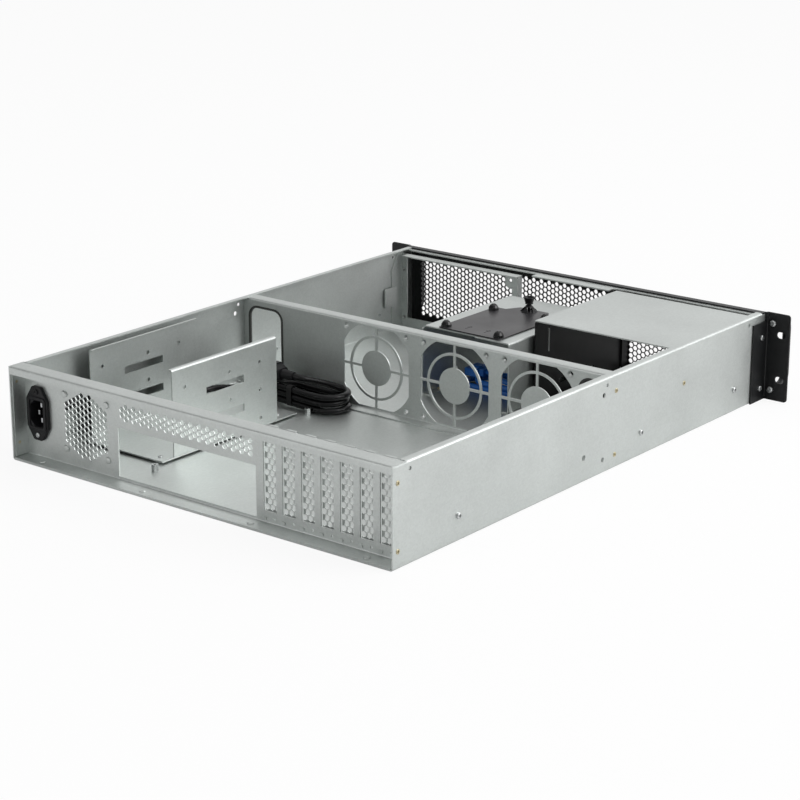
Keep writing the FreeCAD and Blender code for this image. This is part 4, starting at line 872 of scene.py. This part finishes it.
# Drawn holes of the fan wall: each flares at the rear face and has a collar on the front side.
drawnHole = {
    'fans': (48.0, -44.0, -136.0),
    'half': 35.75,
    'middleZ': 43.6,
    'wall': 268.0,
    'sheet': 1.2,
    'flare': (4.4, 6.5, 0.8),
    'flareOut': 0.05,
    'collar': (5.9, 4.3, 2.6),
    'collarRoot': 0.1,
    'collarRim': 0.3,
}


def buildFanWall(sizes):
    face = sizes['wall']
    wall = copyOfNode('fan_wall', 'fanWallSheet')
    spots = [(middle + dx * sizes['half'], sizes['middleZ'] + dz * sizes['half'])
             for middle in sizes['fans'] for dx in (-1, 1) for dz in (-1, 1)]
    narrow, wide, deep = sizes['flare']
    cones = [roundPiece('flare', narrow, x, face - deep, z, deep + sizes['flareOut'], axis='y', top=wide)
             for x, z in spots]
    cutWith(wall, joinAll(cones, 'flares'))
    finishPiece(wall, 'galvanised', ['fan_wall'])
    outer, inner, tall = sizes['collar']
    back = face - sizes['sheet']
    rings = []
    for x, z in spots:
        ring = roundPiece(
            'collar', outer, x, back + sizes['collarRoot'], z, -tall, axis='y', rim=sizes['collarRim'])
        cutWith(ring, roundPiece('bore', inner, x, back - tall - beyond, z, tall + 3 * beyond, axis='y'))
        rings.append(ring)
    finishPiece(joinAll(rings, 'fanHoleCollars'), 'galvanised')


buildFanWall(drawnHole)
print('fasteners placed')


# Mains inlet: the socket with softened edges and a collar round its mouth.
inlet = {
    'x': 196.3,
    'z': 43.2,
    'face': 560.2,
    'collar': (11.6, 15.4, 1.1),
    'collarRoot': 0.3,
    'collarCorner': 3.4,
    'mouth': (8.5, 12.3),
    'mouthCorner': 1.6,
    'soft': 0.5,
    'softAngle': 40,
}


def buildInlet(sizes):
    x, z, face = sizes['x'], sizes['z'], sizes['face']
    halfX, halfZ, height = sizes['collar']
    mouthX, mouthZ = sizes['mouth']
    socket = copyOfNode('power_inlet', 'mainsInlet')
    collar = boxPiece(
        'collar', x - halfX, x + halfX, face - sizes['collarRoot'], face + height, z - halfZ, z + halfZ,
        sizes['collarCorner'])
    cutWith(collar, boxPiece(
        'mouth', x - mouthX, x + mouthX, face - beyond, face + 3 * beyond, z - mouthZ, z + mouthZ,
        sizes['mouthCorner']))
    for piece in (socket, collar):
        applyModifier(
            piece, 'BEVEL', width=mm(sizes['soft']), segments=2, limit_method='ANGLE',
            angle_limit=radians(sizes['softAngle']))
    finishPiece(joinAll([collar, socket], 'mainsInlet'), 'black_plastic', ['power_inlet'])


# The strain relief behind the inlet: a taper with ribs, spaced by shares of its length.
relief = {
    'back': (516.0, 536.0),
    'diameters': (7.6, 11.4),
    'rim': 0.4,
    'ribs': 5,
    'ribSpacing': (0.7, 0.6),
    'ribGrow': 1.5,
    'ribWidth': 1.7,
    'ribRim': 0.5,
}


def buildRelief(sizes):
    x, z = inlet['x'], inlet['z']
    near, far = sizes['back']
    thin, thick = sizes['diameters']
    first, rest = sizes['ribSpacing']
    pieces = [roundPiece('taper', thin, x, near, z, far - near, axis='y', top=thick, rim=sizes['rim'])]
    for i in range(sizes['ribs']):
        share = (i + first) / (sizes['ribs'] + rest)
        pieces.append(roundPiece(
            'rib', thin + (thick - thin) * share + sizes['ribGrow'], x, near + (far - near) * share, z,
            sizes['ribWidth'], axis='y', rim=sizes['ribRim']))
    return finishPiece(joinAll(pieces, 'mainsRelief'), 'black_plastic', ['mains_boot'])


buildInlet(inlet)
mainsRelief = buildRelief(relief)

# A fabric tie holds the near runs of the mains hank together.
coilTie = {'x': (116.0, 121.5), 'back': (304.9, 312.7), 'z': (3.0, 23.5), 'wall': 0.6, 'corners': (3.4, 2.8)}


def buildTie(sizes):
    x0, x1 = sizes['x']
    back0, back1 = sizes['back']
    z0, z1 = sizes['z']
    wall = sizes['wall']
    outside, inside = sizes['corners']
    band = boxPiece('coilTie', x0, x1, back0, back1, z0, z1, outside, along='x')
    cutWith(band, boxPiece(
        'inside', x0 - beyond, x1 + beyond, back0 + wall, back1 - wall, z0 + wall, z1 - wall, inside,
        along='x'))
    finishPiece(band, 'black_plastic', material=finishes['black_rubber'])


buildTie(coilTie)
print('inlet and ties made')


# Tray knob: a hollow cup on a thin neck, over a flared foot cut into four prongs.
trayKnob = {
    'cup': (7.2, 11.6, 6.2),
    'cupRim': 0.5,
    'hollow': (6.0, 10.4, 4.8),
    'overlap': 0.4,
    'neck': 4.0,
    'neckFoot': 5.4,
    'bead': (0.8, 0.5, 1.0, 0.4),
    'skirt': (17.8, 4.8, 6.6),
    'inside': (15.0, 2.2, 5.6),
    'insideSink': 0.2,
    'window': (5.6, 4.8, 1.2),
    'windowReach': 12,
    'stem': (3.0, 6.0),
}


def buildKnob(sizes):
    low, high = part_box('tray_knob')
    x, back = (low.x + high.x) / 2 / millimetre, (low.y + high.y) / 2 / millimetre - frontY
    base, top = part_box('ssd_tray')[1].z / millimetre, high.z / millimetre
    overlap = sizes['overlap']
    cupLow, cupHigh, cupTall = sizes['cup']
    cup = roundPiece('cup', cupLow, x, back, top - cupTall, cupTall, top=cupHigh, rim=sizes['cupRim'])
    narrow, wide, deep = sizes['hollow']
    cutWith(cup, roundPiece('hollow', narrow, x, back, top - deep, deep + overlap, top=wide))
    wide, narrow, tall = sizes['skirt']
    skirt = roundPiece('skirt', wide, x, back, base, tall, top=narrow)
    wide, narrow, deep = sizes['inside']
    cutWith(skirt, roundPiece('inside', wide, x, back, base - sizes['insideSink'], deep, top=narrow))
    width, height, corner = sizes['window']
    reach = sizes['windowReach']
    middle = place(x, back, base)
    for angle in (45, 135):
        window = boxPiece(
            'window', x - reach, x + reach, back - width / 2, back + width / 2, base - beyond, base + height,
            corner, along='x')
        turn = Matrix.Rotation(radians(angle), 4, 'Z')
        window.data.transform(Matrix.Translation(middle) @ turn @ Matrix.Translation(-middle))
        cutWith(skirt, window)
    neckFoot = sizes['neckFoot']
    neck = roundPiece(
        'neck', sizes['neck'], x, back, base + neckFoot, top - cupTall - base - (neckFoot - overlap))
    grow, sink, tall, rim = sizes['bead']
    bead = roundPiece('bead', cupLow + grow, x, back, top - cupTall - sink, tall, rim=rim)
    wide, reach = sizes['stem']
    foot = low.z / millimetre
    stem = roundPiece('stem', wide, x, back, foot, base + reach - foot)
    finishPiece(joinAll([neck, bead, stem, skirt, cup], 'trayKnobCup'), 'black_plastic', ['tray_knob'])


# Rubber mounts of the tray: a low skirt and a faceted crown, with a stem through the tray.
trayDome = {
    'rings': [(10.4, 9.8, 2.4), (9.8, 7.0, 2.4), (7.0, 3.2, 1.4)],
    'stem': (3.0, 1.0),
    'sides': 12,
    'smooth': 20.0,
}


def buildDomes(sizes):
    low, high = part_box('tray_domes')
    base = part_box('ssd_tray')[1].z
    pieces = []
    z = 0.0
    for wide, narrow, tall in sizes['rings']:
        pieces.append(roundPiece('ring', wide, 0, -frontY, z, tall, sides=sizes['sides'], top=narrow))
        z += tall
    wide, reach = sizes['stem']
    foot = (low.z - base) / millimetre
    pieces.append(roundPiece('stem', wide, 0, -frontY, foot, reach - foot))
    shape = joinAll(pieces, 'dome')
    half = mm(sizes['rings'][0][0]) / 2
    spots = [(Vector((px, py, base)), (0, 0, 1))
             for px in (low.x + half, high.x - half) for py in (low.y + half, high.y - half)]
    finishPiece(
        placeCopies(shape, spots, 'trayMounts'), 'black_rubber', ['tray_domes'], angle=sizes['smooth'],
        material=mountRubber)


# Drive tray: narrow slits run front to back beside the rear mounts, over wide ones that are filled.
trayLance = {
    'x': (-16.6, 5.4), 'back': 180.0, 'old': (6.8, 2.8), 'oldForward': 0.4, 'sheet': 1.4, 'slit': (0.8, 11.0)}


def buildTray(sizes):
    tray = copyOfNode('ssd_tray', 'driveTray')
    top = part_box('ssd_tray')[1].z / millimetre
    back, forward = sizes['back'], sizes['oldForward']
    wide, deep = sizes['old']
    narrow, long = sizes['slit']
    for x in sizes['x']:
        cutWith(tray, boxPiece(
            'plug', x - wide / 2, x + wide / 2, back - deep / 2 - forward, back + deep / 2 - forward,
            top - sizes['sheet'], top), 'UNION')
    for x in sizes['x']:
        cutWith(tray, boxPiece(
            'slit', x - narrow / 2, x + narrow / 2, back - long / 2, back + long / 2, top - 3 * beyond,
            top + beyond))
    finishPiece(tray, 'black_steel', ['ssd_tray'], material=trayCoat)


buildKnob(trayKnob)
buildDomes(trayDome)
buildTray(trayLance)

# Cage side: its tongue stands in the slit, and the two upper slots are closed.
cageSide = {
    'sheet': 1.2,
    'plugs': ((60.0, 72.0), (108.0, 120.0)),
    'plugZ': (55.3, 59.5),
    'plugGrow': 0.1,
    'tongue': (1.5, 50.2, 73.0),
    'tongueInset': 22.2,
    'tongueDepth': (1.4, 0.5),
    'tongueCorner': 0.6,
}


def buildCageSide(sizes):
    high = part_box('bay_cage_side')[1]
    outer, rear = high.x / millimetre, high.y / millimetre - frontY
    side = copyOfNode('bay_cage_side', 'cageSideSheet')
    grow = sizes['plugGrow']
    z0, z1 = sizes['plugZ']
    for back0, back1 in sizes['plugs']:
        cutWith(side, boxPiece(
            'plug', outer - sizes['sheet'], outer, back0 - grow, back1 + grow, z0 - grow, z1 + grow), 'UNION')
    finishPiece(side, 'black_steel', ['bay_cage_side'])
    width, z0, z1 = sizes['tongue']
    inward, outward = sizes['tongueDepth']
    middle = rear - sizes['tongueInset']
    tongue = boxPiece(
        'cageTongue', outer - inward, outer + outward, middle - width / 2, middle + width / 2, z0, z1,
        sizes['tongueCorner'], along='x')
    finishPiece(tongue, 'galvanised')


buildCageSide(cageSide)

# Fan frame: its old corner hole is filled, and a rounded corner plate with a hole is added.
frameCorner = {
    'sheet': 1.2,
    'oldHole': (6.45, 64.6, 3.4),
    'plate': (6.6, 20.5),
    'height': (66.0, 80.5),
    'plateCorner': 6.5,
    'plateInset': 0.1,
    'hole': (13.7, 75.0, 3.8),
}
# A tab of the side wall behind the front.
frameTab = {'x': (211.6, 212.9), 'back': (30.5, 50.0), 'z': (27.0, 48.0), 'corner': 2.0}


def buildFrame(sizes):
    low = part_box('front_fan_frame')[0]
    left, face = low.x / millimetre, low.y / millimetre - frontY
    sheet, inset = sizes['sheet'], sizes['plateInset']
    framePiece = copyOfNode('front_fan_frame', 'fanFrameSheet')
    x, z, wide = sizes['oldHole']
    cutWith(framePiece, roundPiece('plug', wide, left + x, face, z, sheet, axis='y'), 'UNION')
    x0, x1 = sizes['plate']
    z0, z1 = sizes['height']
    gusset = boxPiece(
        'gusset', left + x0, left + x1, face + inset, face + sheet - inset, z0, z1, sizes['plateCorner'],
        segments=4)
    x, z, wide = sizes['hole']
    for piece in (framePiece, gusset):
        cutWith(piece, roundPiece('hole', wide, left + x, face - beyond, z, sheet + 2 * beyond, axis='y'))
    finishPiece(joinAll([gusset, framePiece], 'fanFrameSheet'), 'galvanised', ['front_fan_frame'])


buildFrame(frameCorner)
tab = boxPiece('frameTab', *frameTab['x'], *frameTab['back'], *frameTab['z'], frameTab['corner'], along='x')
finishPiece(tab, 'galvanised')


# Edge trims of the two cable gates: a thin dark rubber edge round each opening.
gateTrim = {'lip': 1.2, 'outside': 0.5, 'inside': 1.7, 'back': (266.4, 268.5), 'radius': 11.0, 'segments': 8}


def buildGateTrims(sizes):
    lip, grow, shrink, radius = sizes['lip'], sizes['outside'], sizes['inside'], sizes['radius']
    back0, back1 = sizes['back']
    for nodeName, name in (('cable_gate_trim', 'cableGateEdge'), ('side_gate_trim', 'sideGateEdge')):
        low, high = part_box(nodeName)
        x0, x1 = low.x / millimetre + lip, high.x / millimetre - lip
        z0, z1 = low.z / millimetre + lip, high.z / millimetre - lip
        edge = boxPiece(
            name, x0 - grow, x1 + grow, back0, back1, z0 - grow, z1 + grow, radius + grow,
            segments=sizes['segments'])
        cutWith(edge, boxPiece(
            'inside', x0 + shrink, x1 - shrink, back0 - beyond, back1 + beyond, z0 + shrink, z1 - shrink,
            radius - shrink, segments=sizes['segments']))
        finishPiece(edge, 'black_rubber', [nodeName], material=edgingRubber)


buildGateTrims(gateTrim)
print('cages and trims made')


# Studio: a white sweep, a soft sky and three boxes of light.
# A lamp's row: its name, its place, where it aims, its width and height in metres, and its watts.
studio = {
    'floorSize': 40.0,
    'floorDrop': 0.0002,
    'floorColour': '#E0E0E0',
    'floorGlow': 0.9,
    'skyLow': 0.15,
    'skyHigh': 1.05,
    'skyReach': 0.8,
    'skyHeading': (-0.5, -0.68, 0.32),
    'lamps': [
        ('overheadBox', (-300.0, -200.0, 2400.0), (0.0, 200.0, 0.0), 2.4, 2.4, 8.0),
        ('backBox', (-2400.0, -900.0, 1700.0), (0.0, 200.0, 0.0), 2.2, 2.2, 60.0),
        ('cameraBox', (900.0, 3000.0, 900.0), (0.0, 200.0, 0.0), 2.2, 1.4, 17.0),
    ],
}


# The sweep shows a camera nearly pure white, and lights the part as white paper would.
def addFloor(setup):
    bpy.ops.mesh.primitive_plane_add(size=setup['floorSize'], location=(0, 0, -setup['floorDrop']))
    floor = bpy.context.object
    floor.name = 'studioFloor'
    material, tree = newMaterial('paperSweep')
    paper = addNode(tree, 'ShaderNodeBsdfDiffuse', {'Color': linearColour(setup['floorColour'])})
    glow = addNode(tree, 'ShaderNodeEmission', {'Color': (1, 1, 1, 1), 'Strength': 1.0})
    path = addNode(tree, 'ShaderNodeLightPath')
    seen = addNode(tree, 'ShaderNodeMath', {0: path.outputs['Is Camera Ray'], 1: setup['floorGlow']},
                   operation='MULTIPLY')
    mix = addNode(tree, 'ShaderNodeMixShader', {0: seen.outputs[0], 1: paper.outputs[0], 2: glow.outputs[0]})
    finishMaterial(tree, mix.outputs[0])
    floor.data.materials.append(material)


# The sky is plain white to a camera, and brighter on one side for what it lights.
def addSky(setup):
    world = bpy.data.worlds.new('studioSky')
    bpy.context.scene.world = world
    world.use_nodes = True
    sky = world.node_tree
    sky.nodes.clear()
    ray = addNode(sky, 'ShaderNodeLightPath')
    seen = addNode(sky, 'ShaderNodeMath', {
        0: ray.outputs['Is Camera Ray'], 1: ray.outputs['Is Transmission Ray']}, operation='MAXIMUM')
    heading = addNode(sky, 'ShaderNodeTexCoord').outputs['Generated']
    facing = addNode(
        sky, 'ShaderNodeVectorMath', {0: heading, 1: setup['skyHeading']}, operation='DOT_PRODUCT')
    glow = addNode(sky, 'ShaderNodeMapRange', {
        'Value': facing.outputs['Value'], 'From Min': -setup['skyReach'], 'From Max': setup['skyReach'],
        'To Min': setup['skyLow'], 'To Max': setup['skyHigh']}, interpolation_type='SMOOTHSTEP')
    level = addNode(sky, 'ShaderNodeMix', {
        'Factor': seen.outputs[0], 2: glow.outputs['Result'], 3: 1.0}, data_type='FLOAT')
    light = addNode(sky, 'ShaderNodeBackground', {'Color': (1, 1, 1, 1), 'Strength': level.outputs[0]})
    addNode(sky, 'ShaderNodeOutputWorld', {'Surface': light.outputs[0]})


def addLamps(setup):
    for name, spot, aim, width, height, power in setup['lamps']:
        start = place(*spot)
        bpy.ops.object.light_add(type='AREA', location=start)
        lamp = bpy.context.object
        lamp.name = name
        lamp.data.shape = 'RECTANGLE'
        lamp.data.size = width
        lamp.data.size_y = height
        lamp.data.energy = power
        lamp.rotation_euler = (place(*aim) - start).to_track_quat('-Z', 'Y').to_euler()


addFloor(studio)
addSky(studio)
addLamps(studio)
bpy.context.scene.view_settings.view_transform = 'Standard'
print('studio lit')
